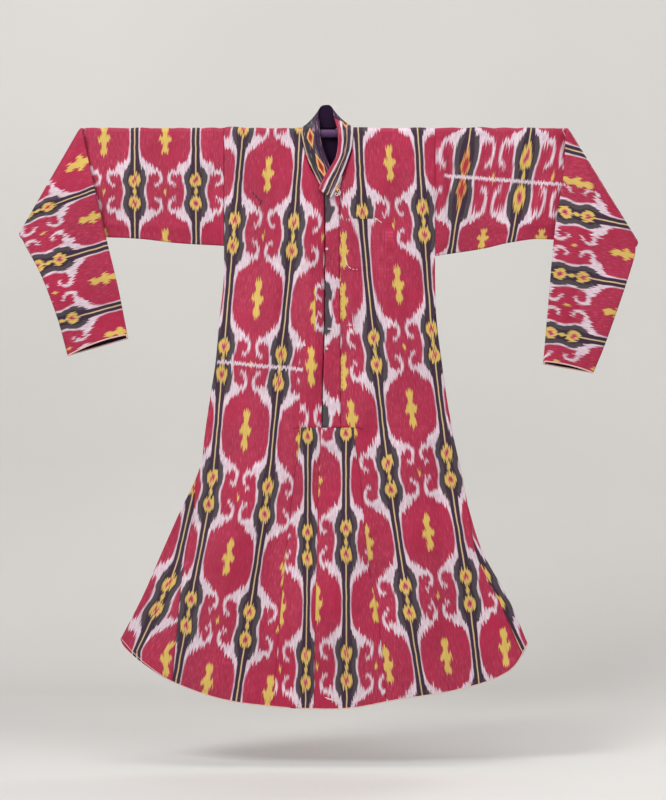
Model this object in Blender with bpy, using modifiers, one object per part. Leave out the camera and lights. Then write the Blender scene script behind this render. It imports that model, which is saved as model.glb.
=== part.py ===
"""A long warp-ikat robe, hung on a straight rod through both sleeves.

Metres, +Z up, the front faces -Y. The origin is the middle of the rod.
The body is two walls, a front and a back, that meet at the shoulder line and at the sides.
Each sleeve is two walls too, folded forward over a slanting crease past the end of the rod.
"""

import math

import bmesh
import bpy
from mathutils import Vector

# Driving sizes
WALL = 0.002
SEAM = 0.0003
ROD_RADIUS = 0.0085
ROD_LENGTH = 0.970
FACET = math.cos(math.radians(15))  # a flat facet comes this much nearer than its corners
WRAP = (ROD_RADIUS + SEAM + WALL / 2) / FACET  # the wall's middle, over the rod
EDGE = (WALL + SEAM) / 2 + 0.0002  # the wall's middle, where two walls lie together
LAP = WALL + SEAM  # from one wall's middle to that of the next one out
CROSS_SEAM_Z = -0.632  # the seam below the slit
SIDE_FLAT = 0.30  # share of the width, at each side, over which the body flattens
ARC = (0, 8, 32, 61, 90)  # degrees round a folded edge, from its top to the flat of the wall

# Outline of the body: height, and the two sides
SIDES = (
    # z, left x, right x
    (-1.100, -0.445, 0.438),
    (-1.000, -0.393, 0.395),
    (-0.900, -0.349, 0.340),
    (-0.810, -0.309, 0.311),
    (-0.750, -0.280, 0.299),
    (-0.700, -0.263, 0.288),
    (-0.660, -0.259, 0.279),
    (-0.575, -0.247, 0.264),
    (-0.490, -0.234, 0.252),
    (-0.400, -0.226, 0.241),
    (-0.315, -0.217, 0.238),
    (-0.240, -0.216, 0.238),
    (0.020, -0.216, 0.238),
)
ARMHOLE = {"left": (-0.216, -0.239), "right": (0.238, -0.261)}  # x of the seam, z of its foot
CORNER_Z = {"left": -1.084, "right": -1.096}

# The hem, from corner to corner
HEM = (
    # x, z
    (-0.445, -1.084),
    (-0.438, -1.086),
    (-0.412, -1.115),
    (-0.380, -1.143),
    (-0.325, -1.178),
    (-0.203, -1.216),
    (-0.074, -1.231),
    (0.049, -1.232),
    (0.162, -1.213),
    (0.274, -1.196),
    (0.334, -1.182),
    (0.380, -1.165),
    (0.411, -1.142),
    (0.437, -1.096),
)

# Neck edge and slit edge of the left front, and neck edge and band seam of the right front
LEFT_INNER = (
    # z, x
    (-0.640, -0.0065),
    (-0.510, -0.0033),
    (-0.420, -0.0006),
    (-0.122, -0.0012),
    (-0.102, -0.0140),
    (-0.081, -0.0277),
    (-0.046, -0.0402),
    (-0.012, -0.0471),
    (0.012, -0.0462),
)
RIGHT_INNER = (
    # z, x
    (-0.640, 0.0350),
    (-0.420, 0.0340),
    (-0.240, 0.0320),
    (-0.110, 0.0350),
    (-0.076, 0.0441),
    (-0.044, 0.0570),
    (-0.012, 0.0604),
    (0.012, 0.0613),
)
# Seams of the lower centre inset
INSET = (
    # z, left x, middle x, right x
    (-1.240, -0.1100, -0.0230, 0.1345),
    (-1.050, -0.0960, -0.0200, 0.1170),
    (-0.917, -0.0835, -0.0165, 0.0940),
    (-0.734, -0.0640, -0.0120, 0.0763),
    (-0.632, -0.0505, -0.0075, 0.0634),
    (0.020, -0.0850, -0.0075, 0.1000),
)
# Seams between the front or back and the side gores
GORE = {
    # z, x
    ("left", "front"): ((-1.190, -0.327), (-0.906, -0.300), (-0.837, -0.284), (-0.740, -0.2765)),
    ("left", "back"): ((-1.200, -0.300), (-1.000, -0.292), (-0.740, -0.2765)),
    ("right", "front"): ((-1.130, 0.430), (-1.010, 0.377), (-0.915, 0.330), (-0.790, 0.3065)),
    ("right", "back"): ((-1.210, 0.270), (-1.000, 0.296), (-0.790, 0.3065)),
}
GORE_TOP = {"left": -0.740, "right": -0.800}

# How far the walls stand from the middle of the body
DEPTH = (
    # z, front, back
    (-1.240, 0.036, 0.031),
    (-0.900, 0.030, 0.026),
    (-0.650, 0.024, 0.021),
    (-0.450, 0.019, 0.017),
    (-0.250, 0.0145, 0.0135),
    (-0.120, 0.0118, 0.0115),
    (0.000, WRAP, WRAP),
    (0.020, WRAP, WRAP),
)
# The largest folds, soft ridges (rise above 0) and troughs that grow downward
FOLDS = {
    "front": (
        # x top, z top, x foot, width, rise
        (-0.120, -0.280, -0.255, 0.040, 0.0050),
        (-0.060, -0.120, -0.150, 0.030, -0.0035),
        (-0.024, -0.160, -0.060, 0.014, 0.0025),
        (0.085, -0.100, 0.165, 0.026, -0.0035),
        (0.150, -0.300, 0.255, 0.040, 0.0050),
        (0.030, -0.700, 0.050, 0.022, 0.0030),
    ),
    "back": (
        (-0.130, -0.250, -0.240, 0.045, 0.0050),
        (-0.040, -0.150, -0.070, 0.040, -0.0040),
        (0.060, -0.200, 0.110, 0.040, 0.0045),
        (0.150, -0.350, 0.250, 0.035, -0.0035),
    ),
}
FOLD_GROWTH = 0.30  # a fold reaches its full height this far below its top

# The sleeves, from above. Places are (distance from the middle, z)
SLEEVES = {
    "left": {
        "sign": -1,
        "top corner": (0.5257, WRAP),
        "outer corner": (0.6547, -0.2140),
        "underside": ((0.216, -0.239), (0.319, -0.233), (0.397, -0.223), (0.469, -0.219), (0.655, -0.215)),
        "inner edge": ((0.5040, -0.0700), (0.4698, -0.2182), (0.4429, -0.3300), (0.4212, -0.4400)),
        "outer edge": ((0.6375, -0.2440), (0.6052, -0.3042), (0.5708, -0.3945), (0.5480, -0.4770)),
        "cuff gap": 0.0048,
    },
    "right": {
        "sign": 1,
        "top corner": (0.5240, WRAP),
        "outer corner": (0.6725, -0.2307),
        "underside": ((0.238, -0.261), (0.339, -0.245), (0.401, -0.2285), (0.470, -0.216), (0.672, -0.230)),
        "inner edge": ((0.5128, -0.0892), (0.4934, -0.2139), (0.4795, -0.3700), (0.4689, -0.4950)),
        "outer edge": ((0.6611, -0.2698), (0.6364, -0.3472), (0.6000, -0.4500), (0.5740, -0.5140)),
        "cuff gap": 0.0030,
    },
}
FOLD_RADIUS = 0.0040  # of the cloth's folded edge, away from the rod
SLEEVE_GAP = 0.0020  # how far the upper sleeve's walls belly apart
LOWER_GAP = 0.0030  # the same, at the top of the lower sleeve
LOWER_Y = (-0.0208, -0.0190)  # the lower sleeve's middle, at the crease and at the cuff

# The collar's two edges: the seam, and the free edge
COLLAR = {
    # seam x, seam z, free x, free z, walls in front of the panel
    "left": (
        (-0.0475, 0.0135, -0.0130, 0.0340, 1.0),
        (-0.0484, 0.0075, -0.0103, 0.0247, 1.0),
        (-0.0484, -0.0075, -0.0097, 0.0118, 1.0),
        (-0.0430, -0.0312, -0.0075, -0.0140, 1.0),
        (-0.0355, -0.0570, -0.0010, -0.0376, 1.0),
        (-0.0204, -0.0892, 0.0097, -0.0656, 1.0),
        (-0.0054, -0.1200, 0.0204, -0.0957, 1.0),
    ),
    "right": (
        (0.0624, 0.0135, 0.0204, 0.0333, 1.0),
        (0.0618, 0.0075, 0.0237, 0.0225, 1.0),
        (0.0613, -0.0075, 0.0269, 0.0095, 1.0),
        (0.0581, -0.0312, 0.0290, -0.0204, 1.3),
        (0.0516, -0.0527, 0.0237, -0.0527, 2.1),
        (0.0398, -0.0849, 0.0075, -0.0806, 2.2),
        (0.0269, -0.1172, -0.0075, -0.1070, 2.2),
        (0.0151, -0.1408, -0.0131, -0.1215, 2.2),
    ),
}
COLLAR_BACK = (
    # seam x, seam y, seam z, free x, free y, free z
    (-0.0475, 0.0004, 0.0135, -0.0130, 0.0004, 0.0340),
    (-0.0430, 0.0060, 0.0145, -0.0125, 0.0045, 0.0470),
    (-0.0320, 0.0100, 0.0135, -0.0095, 0.0085, 0.0560),
    (-0.0120, 0.0101, 0.0110, -0.0050, 0.0105, 0.0610),
    (0.0070, 0.0101, 0.0107, 0.0030, 0.0110, 0.0625),
    (0.0260, 0.0101, 0.0110, 0.0110, 0.0105, 0.0620),
    (0.0460, 0.0100, 0.0135, 0.0160, 0.0085, 0.0560),
    (0.0570, 0.0060, 0.0145, 0.0190, 0.0045, 0.0460),
    (0.0624, 0.0004, 0.0135, 0.0204, 0.0004, 0.0333),
)
COLLAR_EASE = 0.0006  # added to a wall and a seam, where the collar turns over the rod
NECK = (-0.050, 0.064)  # the back wall stands straight up between these
NECK_EASE = 0.012

# The band along the slit, and the fasteners
PLACKET_TOP = (-0.128, -0.092)  # z at the free edge and at the seam
PLACKET_X = 0.0012  # the free edge, to the right of the left front's slit edge
PLACKET_PROUD = 0.0022
KNOT = (0.0275, -0.1290, 0.0035)  # x, z, radius
BUTTONS = ((0.0050, -0.249), (0.0050, -0.463))
BUTTON_RADIUS = 0.0032
BUTTON_THICKNESS = 0.0014

CRIMSON = (0.45, 0.04, 0.09, 1.0)
AUBERGINE = (0.04, 0.02, 0.06, 1.0)
PALE = (0.70, 0.62, 0.58, 1.0)


def read(table, at, column=1):
    """A smooth value from a table whose first column rises, level past both ends."""
    if at <= table[0][0]:
        return table[0][column]
    if at >= table[-1][0]:
        return table[-1][column]
    last = len(table) - 1
    i = max(k for k in range(last) if table[k][0] <= at)

    def slope(k):
        low, high = max(k - 1, 0), min(k + 1, last)
        return (table[high][column] - table[low][column]) / (table[high][0] - table[low][0])

    span = table[i + 1][0] - table[i][0]
    t = (at - table[i][0]) / span
    start, end = table[i][column], table[i + 1][column]
    return (
        start * (1 + 2 * t) * (1 - t) ** 2
        + end * t * t * (3 - 2 * t)
        + span * (slope(i) * t * (1 - t) ** 2 - slope(i + 1) * t * t * (1 - t))
    )


def mix(a, b, t):
    return a + (b - a) * t


def ease(t):
    t = min(1.0, max(0.0, t))
    return t * t * (3 - 2 * t)


def steps(start, end, count):
    return [mix(start, end, k / count) for k in range(count + 1)]


def sleeve_taper(share):
    """Half the gap between a sleeve's walls at the armhole, from the rod (0) to the underside (1)."""
    return mix(WRAP, EDGE, share * share) + SLEEVE_GAP * math.sin(math.pi * share)


def side_depth(side, z):
    """Half the gap between the front and back walls at a side edge."""
    foot = ARMHOLE[side][1]
    return EDGE if z <= foot else sleeve_taper(max(0.0, z / foot))


def depth(face, x, z):
    """How far a wall's middle stands from the middle of the body."""
    left, right = read(SIDES, z, 1), read(SIDES, z, 2)
    across = min(1.0, max(0.0, (x - left) / (right - left)))
    full = read(DEPTH, z, 1 if face == "front" else 2)
    fullness = ease(min(across, 1 - across) / SIDE_FLAT)
    for x_top, z_top, x_foot, width, rise in FOLDS[face]:
        down = (z_top - z) / (z_top + 1.23)
        if down > 0:
            away = (x - mix(x_top, x_foot, down)) / width
            full += rise * ease((z_top - z) / FOLD_GROWTH) * math.exp(-away * away)
    return mix(side_depth("left" if across < 0.5 else "right", z), full, fullness)


def row_z(v, hem_z):
    """Height of a row: -1 is the shoulder line, 0 the rod's middle, 1 the cross seam, 2 the hem."""
    if v <= 0:
        return WRAP * math.cos((v + 1) * math.pi / 2)
    if v <= 1:
        return CROSS_SEAM_Z * v
    return mix(CROSS_SEAM_Z, hem_z, v - 1)


def body_point(face, x, v, hem_z):
    """A point of the body's front or back wall."""
    z = row_z(v, hem_z)
    sign = -1 if face == "front" else 1
    if v > 0:
        return Vector((x, sign * depth(face, x, z), z))
    y = max(SEAM / 2, WRAP * math.sin((v + 1) * math.pi / 2))
    if face == "back":
        upright = ease((x - NECK[0]) / NECK_EASE + 0.5) * ease((NECK[1] - x) / NECK_EASE + 0.5)
        y = mix(y, WRAP, upright)
    return Vector((x, sign * y, z))


def side_x(side, z):
    return read(SIDES, z, 1 if side == "left" else 2)


def foot_of(table, column=1):
    """Where a seam that runs down to the hem meets it: x and z."""
    x = table[0][column]
    for _ in range(8):
        x = read(table, read(HEM, x), column)
    return x, read(HEM, x)


def outer_edge(side, face, v):
    """The outer edge of a front or back panel: the armhole and side seam, then the seam of the gore."""
    foot_x, hem_z = foot_of(GORE[side, face])
    z = row_z(v, hem_z)
    return (side_x(side, z) if z > GORE_TOP[side] else read(GORE[side, face], z)), z, foot_x


def collection_named(name):
    made = bpy.data.collections.new(name)
    bpy.context.scene.collection.children.link(made)
    return made


def material(name, colour, roughness):
    made = bpy.data.materials.new(name)
    made.use_nodes = True
    shader = made.node_tree.nodes["Principled BSDF"]
    shader.inputs["Base Color"].default_value = colour
    shader.inputs["Roughness"].default_value = roughness
    shader.inputs["Metallic"].default_value = 0.0
    return made


def wall(name, columns, rows, point, keep=None, colour=CRIMSON, thickness=WALL):
    """A cloth wall: a grid of columns by rows placed by point(i, j), and thickened both ways."""
    bm = bmesh.new()
    bmesh.ops.create_grid(bm, x_segments=columns, y_segments=rows, size=0.5)
    places = {}
    for vert in bm.verts:
        i = round((vert.co.x + 0.5) * columns)
        j = round((vert.co.y + 0.5) * rows)
        places[vert] = (i, j)
    if keep:
        gone = [
            face
            for face in bm.faces
            if not keep(min(places[v][0] for v in face.verts), min(places[v][1] for v in face.verts))
        ]
        bmesh.ops.delete(bm, geom=gone, context="FACES")
    for vert in bm.verts:
        vert.co = point(*places[vert])
    mesh = bpy.data.meshes.new(name)
    bm.to_mesh(mesh)
    bm.free()
    mesh.shade_smooth()
    made = bpy.data.objects.new(name, mesh)
    mesh.materials.append(material(name, colour, 0.6))
    ROBE.objects.link(made)
    solid = made.modifiers.new("Wall", "SOLIDIFY")
    solid.thickness = thickness
    solid.offset = 0.0
    solid.use_even_offset = True
    return made


# Body
UPPER_ROWS = 15
LOWER_ROWS = 12
ROWS = [angle / 90 - 1 for angle in ARC] + steps(0, 1, UPPER_ROWS)[1:] + steps(1, 2, LOWER_ROWS)[1:]
CROSS_ROW = len(ARC) - 1 + UPPER_ROWS


def front(side):
    """A front panel, cut away below the cross seam for the inset."""
    outer_columns, inner_columns = 6, 3
    sign = -1 if side == "left" else 1
    inner_table = LEFT_INNER if side == "left" else RIGHT_INNER
    inset_column = 1 if side == "left" else 3

    def point(i, j):
        v = ROWS[j]
        if j == CROSS_ROW and i > outer_columns:
            v -= SEAM / 2 / abs(CROSS_SEAM_Z)
        outer, _, outer_foot = outer_edge(side, "front", v)
        seam_foot, seam_hem = foot_of(INSET, inset_column)
        seam = read(INSET, row_z(v, seam_hem), inset_column) + sign * SEAM / 2
        outer -= sign * SEAM / 2
        if i <= outer_columns:
            share = i / outer_columns
            x = mix(outer, seam, share)
            hem_z = read(HEM, mix(outer_foot, seam_foot, share))
        else:
            inner = read(inner_table, row_z(v, 0)) + sign * SEAM / 2
            x = mix(seam, inner, (i - outer_columns) / inner_columns)
            hem_z = CROSS_SEAM_Z
        place = body_point("front", x, v, hem_z)
        if side == "left" and v > 0:
            away = (x - read(LEFT_INNER, place.z)) / 0.015
            place.y += 0.0012 * math.exp(-away * away) * ease((place.z + 0.62) / 0.10) * ease((-0.10 - place.z) / 0.05)
        return place

    return wall(
        f"front_{side}",
        outer_columns + inner_columns,
        len(ROWS) - 1,
        point,
        keep=lambda i, j: i < outer_columns or j < CROSS_ROW,
    )


def placket():
    """The narrow band that edges the slit, sewn to the right front, whose rows it shares."""
    columns = 2
    heights = [row_z(v, 0) for v in ROWS if 0 < v <= 1]
    above = max(k for k, z in enumerate(heights) if z > PLACKET_TOP[1])
    rows = len(heights) - 1 - above

    def point(i, j):
        share = i / columns
        seam_z = heights[above + j]
        seam_x = read(RIGHT_INNER, seam_z)
        free_z = min(seam_z, PLACKET_TOP[0])
        if j == 0:
            part = (seam_z - PLACKET_TOP[1]) / (seam_z - heights[above + 1])
            seam_x = mix(seam_x, read(RIGHT_INNER, heights[above + 1]), part)
            seam_z = PLACKET_TOP[1]
        elif j == 1:
            free_z = mix(PLACKET_TOP[0], heights[above + 2], 0.3)
        z = max(mix(free_z, seam_z, share), CROSS_SEAM_Z + SEAM / 2)
        free_x = read(LEFT_INNER, min(free_z, -0.130)) + PLACKET_X
        proud = PLACKET_PROUD * (1 - share) * ease((z - CROSS_SEAM_Z) / 0.10)
        x = mix(free_x, seam_x - SEAM / 2, share)
        return Vector((x, -depth("front", x, z) - proud, z))

    return wall("placket_band", columns, rows, point)


def inset(side):
    """One half of the inset below the slit."""
    columns = 3
    names = (1, 2) if side == "left" else (2, 3)

    def point(i, j):
        v = 1 + j / LOWER_ROWS
        if j == 0:
            v += SEAM / 2 / 0.6
        share = i / columns
        (first_foot, first_hem), (second_foot, second_hem) = (foot_of(INSET, name) for name in names)
        first = read(INSET, row_z(v, first_hem), names[0]) + SEAM / 2
        second = read(INSET, row_z(v, second_hem), names[1]) - SEAM / 2
        hem_z = read(HEM, mix(first_foot, second_foot, share))
        return body_point("front", mix(first, second, share), v, hem_z)

    return wall(f"inset_{side}", columns, LOWER_ROWS, point)


def back():
    """The back panel, in one piece."""
    columns = 18

    def point(i, j):
        v = ROWS[j]
        share = i / columns
        first, _, first_foot = outer_edge("left", "back", v)
        second, _, second_foot = outer_edge("right", "back", v)
        hem_z = read(HEM, mix(first_foot, second_foot, share))
        return body_point("back", mix(first + SEAM / 2, second - SEAM / 2, share), v, hem_z)

    return wall("back", columns, len(ROWS) - 1, point)


def gore(side, face):
    """Half of a side gore, from its point down to the hem. Its rows are those of the panel beside it."""
    columns = 3
    sign = -1 if side == "left" else 1
    above = max(j for j, v in enumerate(ROWS) if outer_edge(side, face, v)[1] > GORE_TOP[side])
    rows = len(ROWS) - 1 - above

    def point(i, j):
        seam_x, seam_z, foot = outer_edge(side, face, ROWS[above + j])
        if j == 0:
            next_x, next_z, _ = outer_edge(side, face, ROWS[above + 1])
            seam_x, seam_z = mix(seam_x, next_x, 0.6), mix(seam_z, next_z, 0.6)
        share = i / columns
        down = (seam_z - GORE_TOP[side]) / (read(HEM, foot) - GORE_TOP[side])
        hem_z = read(HEM, mix(foot, side_x(side, CORNER_Z[side]), share))
        z = seam_z + (hem_z - read(HEM, foot)) * max(0.0, down)
        x = mix(seam_x + sign * SEAM / 2, side_x(side, z) + sign * SEAM, share)
        return Vector((x, (-1 if face == "front" else 1) * depth(face, x, z), z))

    return wall(f"gore_{side}_{face}", columns, rows, point)


# Sleeves
ARC_COLUMNS = len(ARC) - 1
FLAT_COLUMNS = 6
SLEEVE_COLUMNS = ARC_COLUMNS + FLAT_COLUMNS


def section(k, width, radius, belly, slit=EDGE):
    """Across a sleeve from its folded edge: the distance down, and half the gap between the walls."""
    if k <= ARC_COLUMNS:
        angle = math.radians(ARC[k])
        return radius * (1 - math.cos(angle)), slit + (radius - slit) * math.sin(angle)
    share = (k - ARC_COLUMNS) / FLAT_COLUMNS
    gap = mix(radius, EDGE, share * share) + belly * math.sin(math.pi * share)
    return mix(radius, width, share), gap


def along(edge, share):
    """A point of an edge given by its knots, at a share of their number."""
    table = [(k / (len(edge) - 1), *knot) for k, knot in enumerate(edge)]
    return Vector((read(table, share, 1), read(table, share, 2)))


def crease(sleeve, k):
    """The bend at column k of a sleeve: its axis there, its two radii, and the gaps of the walls it joins."""
    top, foot = Vector(sleeve["top corner"]), Vector(sleeve["outer corner"])
    width = (foot - top).length
    run = (foot - top) / width
    outward = Vector((-run.y, run.x))
    down, upper_gap = section(k, width, FOLD_RADIUS, SLEEVE_GAP)
    _, lower_gap = section(k, width, FOLD_RADIUS, LOWER_GAP)
    outer = (upper_gap - LOWER_Y[0] + lower_gap) / 2
    inner = (-upper_gap - LOWER_Y[0] - lower_gap) / 2
    inset_by = outer + WALL / 2
    drift = -run * inset_by * outward.y / run.y  # the cloth slides along the crease as it turns
    return {
        "axis": top + run * down - outward * inset_by,
        "outward": outward,
        "drift": drift,
        "outer": outer,
        "inner": inner,
        "upper gap": upper_gap,
        "lower gap": lower_gap,
        "share": down / width,
    }


def above_bend(sleeve, k):
    bend = crease(sleeve, k)
    return bend["axis"] - bend["drift"]


def below_bend(sleeve, k):
    bend = crease(sleeve, k)
    return bend["axis"] + bend["drift"]


def rod_share(sleeve):
    """How far along the upper sleeve, from 0 to 1, the rod ends."""
    arm_x = sleeve["underside"][0][0]
    return (ROD_LENGTH / 2 + 0.003 - arm_x) / (above_bend(sleeve, 0).x - arm_x)


def upper_place(sleeve, k, s):
    """A point of the upper sleeve in elevation, and half the gap there; s runs from armhole to crease."""
    arm_x, arm_z = sleeve["underside"][0]
    rod_end = rod_share(sleeve)
    past_rod = ease((s - rod_end) / (1 - rod_end))
    radius = mix(WRAP, FOLD_RADIUS, past_rod)
    width = WRAP - arm_z
    down, gap = section(k, width, radius, SLEEVE_GAP, mix(SEAM / 2, EDGE, past_rod))
    rod_down, _ = section(k, width, WRAP, SLEEVE_GAP)
    fold_down, _ = section(k, width, FOLD_RADIUS, SLEEVE_GAP)
    end = above_bend(sleeve, k)
    place = Vector((arm_x, WRAP - rod_down)).lerp(end, s)
    place.y -= down - mix(rod_down, fold_down, s)
    last = above_bend(sleeve, SLEEVE_COLUMNS)
    foot = Vector((arm_x, arm_z)).lerp(last, s)
    sag = read(sleeve["underside"], foot.x) - foot.y
    place.y += sag * (rod_down / width) ** 3 * (1 - s * s)
    return place, gap


def lower_place(sleeve, k, s):
    """A point of the lower sleeve in elevation, its middle depth and half its gap; s runs down to the cuff."""
    start, share = below_bend(sleeve, k), crease(sleeve, k)["share"]
    first, last = below_bend(sleeve, 0), below_bend(sleeve, SLEEVE_COLUMNS)
    inner = along((first, *sleeve["inner edge"]), s)
    outer = along((last, *sleeve["outer edge"]), s)
    width = (outer - inner).length
    down, gap = section(k, width, FOLD_RADIUS, mix(LOWER_GAP, sleeve["cuff gap"], s))
    place = inner.lerp(outer, mix(share, down / width, ease(s * 3)))
    place += (start - first.lerp(last, share)) * (1 - ease(s * 2))
    return place, mix(LOWER_Y[0], LOWER_Y[1], s), gap


def sleeve_point(side, part, outside, k, row):
    """A point of a sleeve wall. Rows 0 to 1 run along the cloth, and 1 to 2 round the bend to its middle."""
    sleeve = SLEEVES[side]
    sign = sleeve["sign"]
    if row > 1:
        bend = crease(sleeve, k)
        radius = bend["outer" if outside else "inner"]
        angle = (row - 1) * (math.pi / 2 - SEAM / 2 / radius)
        if part == "lower":
            angle = math.pi - angle
        away = 1 if outside else -1
        middle_y = (away * bend["upper gap"] + LOWER_Y[0] - away * bend["lower gap"]) / 2
        place = bend["axis"] + bend["outward"] * radius * math.sin(angle)
        place += bend["drift"] * (angle / (math.pi / 2) - 1)
        return Vector((sign * place.x, middle_y + radius * math.cos(angle), place.y))
    if part == "upper":
        place, gap = upper_place(sleeve, k, row)
        place.x += SEAM / 2 * (1 - row)
        return Vector((sign * place.x, gap if outside else -gap, place.y))
    place, centre, gap = lower_place(sleeve, k, 1 - row)
    return Vector((sign * place.x, centre + (-gap if outside else gap), place.y))


def sleeve_wall(side, part, outside):
    """One wall of a sleeve. The cloth at the back above the fold is at the front below it."""
    if part == "upper":
        rod_end = rod_share(SLEEVES[side])
        rows = steps(0, rod_end, 7) + steps(rod_end, 1, 2)[1:]
    else:
        rows = steps(0, 1, 8)
    rows += [2 - angle / 90 for angle in reversed(ARC[:-1])]
    face = ("back" if outside else "front") if part == "upper" else ("front" if outside else "back")
    return wall(
        f"sleeve_{side}_{part}_{face}",
        SLEEVE_COLUMNS,
        len(rows) - 1,
        lambda i, j: sleeve_point(side, part, outside, i, rows[j]),
    )


# Collar
def over_rod(x, z, walls):
    """How far in front of the middle a piece lies, so many walls in front of the panel."""
    if z <= 0:
        return depth("front", x, z) + walls * LAP + COLLAR_EASE
    radius = WRAP + LAP + COLLAR_EASE
    return math.sqrt(max(0.0, radius * radius - z * z))


def collar_front(side):
    """A front end of the collar, from the shoulder down."""
    columns, rows = 3, 12
    stations = COLLAR[side]
    table = [(k / (len(stations) - 1), *station) for k, station in enumerate(stations)]

    def point(i, j):
        down = j / rows
        seam_x, seam_z, free_x, free_z, walls = (read(table, down, column) for column in range(1, 6))
        share = i / columns
        x, z = mix(seam_x, free_x, share), mix(seam_z, free_z, share)
        seam_y = over_rod(seam_x, seam_z, walls)
        free_y = over_rod(free_x, min(free_z, 0), walls)
        if free_z > 0:
            free_y *= 1 - ease(free_z / 0.034)
        y = mix(seam_y, free_y, share)
        return Vector((x, -max(y, SEAM), z))

    return wall(f"collar_{side}", columns, rows, point, colour=AUBERGINE)


def collar_back():
    """The standing part of the collar, round the back of the neck."""
    columns, rows = 3, 14
    table = [(k / (len(COLLAR_BACK) - 1), *station) for k, station in enumerate(COLLAR_BACK)]

    def point(i, j):
        values = [read(table, j / rows, column) for column in range(1, 7)]
        return Vector(values[:3]).lerp(Vector(values[3:]), i / columns)

    return wall("collar_back", columns, rows, point, colour=AUBERGINE)


# Rod and fasteners
def turned(name, radius, length, axis, place, sides, colour):
    """A short or long cylinder along an axis."""
    bpy.ops.mesh.primitive_cylinder_add(radius=radius, depth=length, vertices=sides)
    made = bpy.context.object
    made.name = name
    made.rotation_euler = axis
    made.location = place
    made.data.shade_smooth()
    made.data.set_sharp_from_angle(angle=math.radians(40))
    made.data.materials.append(material(name, colour, 0.4))
    for old in list(made.users_collection):
        old.objects.unlink(made)
    ROBE.objects.link(made)
    return made


def fasteners():
    x, z, radius = KNOT
    bpy.ops.mesh.primitive_uv_sphere_add(segments=12, ring_count=8, radius=radius)
    knot = bpy.context.object
    knot.name = "collar_knot"
    knot.location = (x, -depth("front", x, z) - WALL / 2 - SEAM - radius - 0.0006, z)
    knot.data.shade_smooth()
    knot.data.materials.append(material("collar_knot", AUBERGINE, 0.5))
    for old in list(knot.users_collection):
        old.objects.unlink(knot)
    ROBE.objects.link(knot)
    for number, (x, z) in enumerate(BUTTONS, 1):
        away = depth("front", x, z) + PLACKET_PROUD + WALL / 2 + SEAM + BUTTON_THICKNESS / 2
        turned(
            f"button_{number}",
            BUTTON_RADIUS,
            BUTTON_THICKNESS,
            (math.pi / 2, 0, 0),
            (x, -away, z),
            12,
            PALE,
        )


for old in list(bpy.data.objects):
    bpy.data.objects.remove(old, do_unlink=True)
ROBE = collection_named("ikat_robe")

for side in ("left", "right"):
    front(side)
    inset(side)
    collar_front(side)
    for face in ("front", "back"):
        gore(side, face)
    for part in ("upper", "lower"):
        for outside in (False, True):
            sleeve_wall(side, part, outside)
back()
placket()
collar_back()
turned("rod", ROD_RADIUS, ROD_LENGTH, (0, math.pi / 2, 0), (0, 0, 0), 24, AUBERGINE)
fasteners()
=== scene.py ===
"""A long warp-ikat robe on its rod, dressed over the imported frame.

The cloth is made from the same named sizes as the part's solids, with finer folds and sewn edges.
The pattern is laid on each piece of cloth by its own UV map, where one unit is one repeat of the ikat.
"""

import math
import random
from functools import lru_cache, partial

import bmesh
import bpy
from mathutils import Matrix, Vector, noise


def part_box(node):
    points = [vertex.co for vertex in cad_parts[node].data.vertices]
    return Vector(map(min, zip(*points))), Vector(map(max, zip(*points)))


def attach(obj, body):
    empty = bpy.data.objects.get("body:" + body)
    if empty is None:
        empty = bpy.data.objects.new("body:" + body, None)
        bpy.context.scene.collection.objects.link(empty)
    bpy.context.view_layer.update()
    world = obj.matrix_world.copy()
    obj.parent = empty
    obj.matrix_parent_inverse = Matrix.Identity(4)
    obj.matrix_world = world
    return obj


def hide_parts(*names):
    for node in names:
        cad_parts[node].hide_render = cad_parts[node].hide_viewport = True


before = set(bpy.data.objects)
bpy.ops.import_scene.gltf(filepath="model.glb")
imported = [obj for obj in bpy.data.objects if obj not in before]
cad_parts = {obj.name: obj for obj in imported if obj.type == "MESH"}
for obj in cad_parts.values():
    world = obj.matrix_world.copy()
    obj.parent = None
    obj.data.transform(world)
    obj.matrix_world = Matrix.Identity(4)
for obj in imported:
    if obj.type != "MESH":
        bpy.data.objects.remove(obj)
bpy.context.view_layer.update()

bl_info = {
    "name": "Ikat Robe",
    "version": (1, 0, 0),
    "blender": (4, 5, 0),
    "location": "View3D > Sidebar > Robe",
    "description": "Builds a long ikat robe that hangs on a rod",
    "category": "Object",
}

# Driving sizes, the same as the solids have
WALL = 0.002
SEAM = 0.0003
ROD_RADIUS = 0.0085
ROD_LENGTH = 0.970
FACET = math.cos(math.radians(15))
WRAP = (ROD_RADIUS + SEAM + WALL / 2) / FACET
EDGE = (WALL + SEAM) / 2 + 0.0002
LAP = WALL + SEAM
CROSS_SEAM_Z = -0.632
SIDE_FLAT = 0.30
ARC_COLUMNS = 4  # a folded edge takes this much of a sleeve's columns, and the flat wall the rest
FLAT_COLUMNS = 6
SLEEVE_COLUMNS = ARC_COLUMNS + FLAT_COLUMNS

# Outline of the body: height, and the two sides
SIDES = (
    # z, left x, right x
    (-1.1, -0.445, 0.438), (-1.0, -0.393, 0.395), (-0.9, -0.349, 0.34), (-0.81, -0.309, 0.311),
    (-0.75, -0.28, 0.299), (-0.7, -0.263, 0.288), (-0.66, -0.259, 0.279), (-0.575, -0.247, 0.264),
    (-0.49, -0.234, 0.252), (-0.4, -0.226, 0.241), (-0.315, -0.217, 0.238), (-0.24, -0.216, 0.238),
    (0.02, -0.216, 0.238),
)
ARMHOLE = {"left": (-0.216, -0.239), "right": (0.238, -0.261)}  # x of the seam, z of its foot
CORNER_Z = {"left": -1.084, "right": -1.096}

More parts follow.
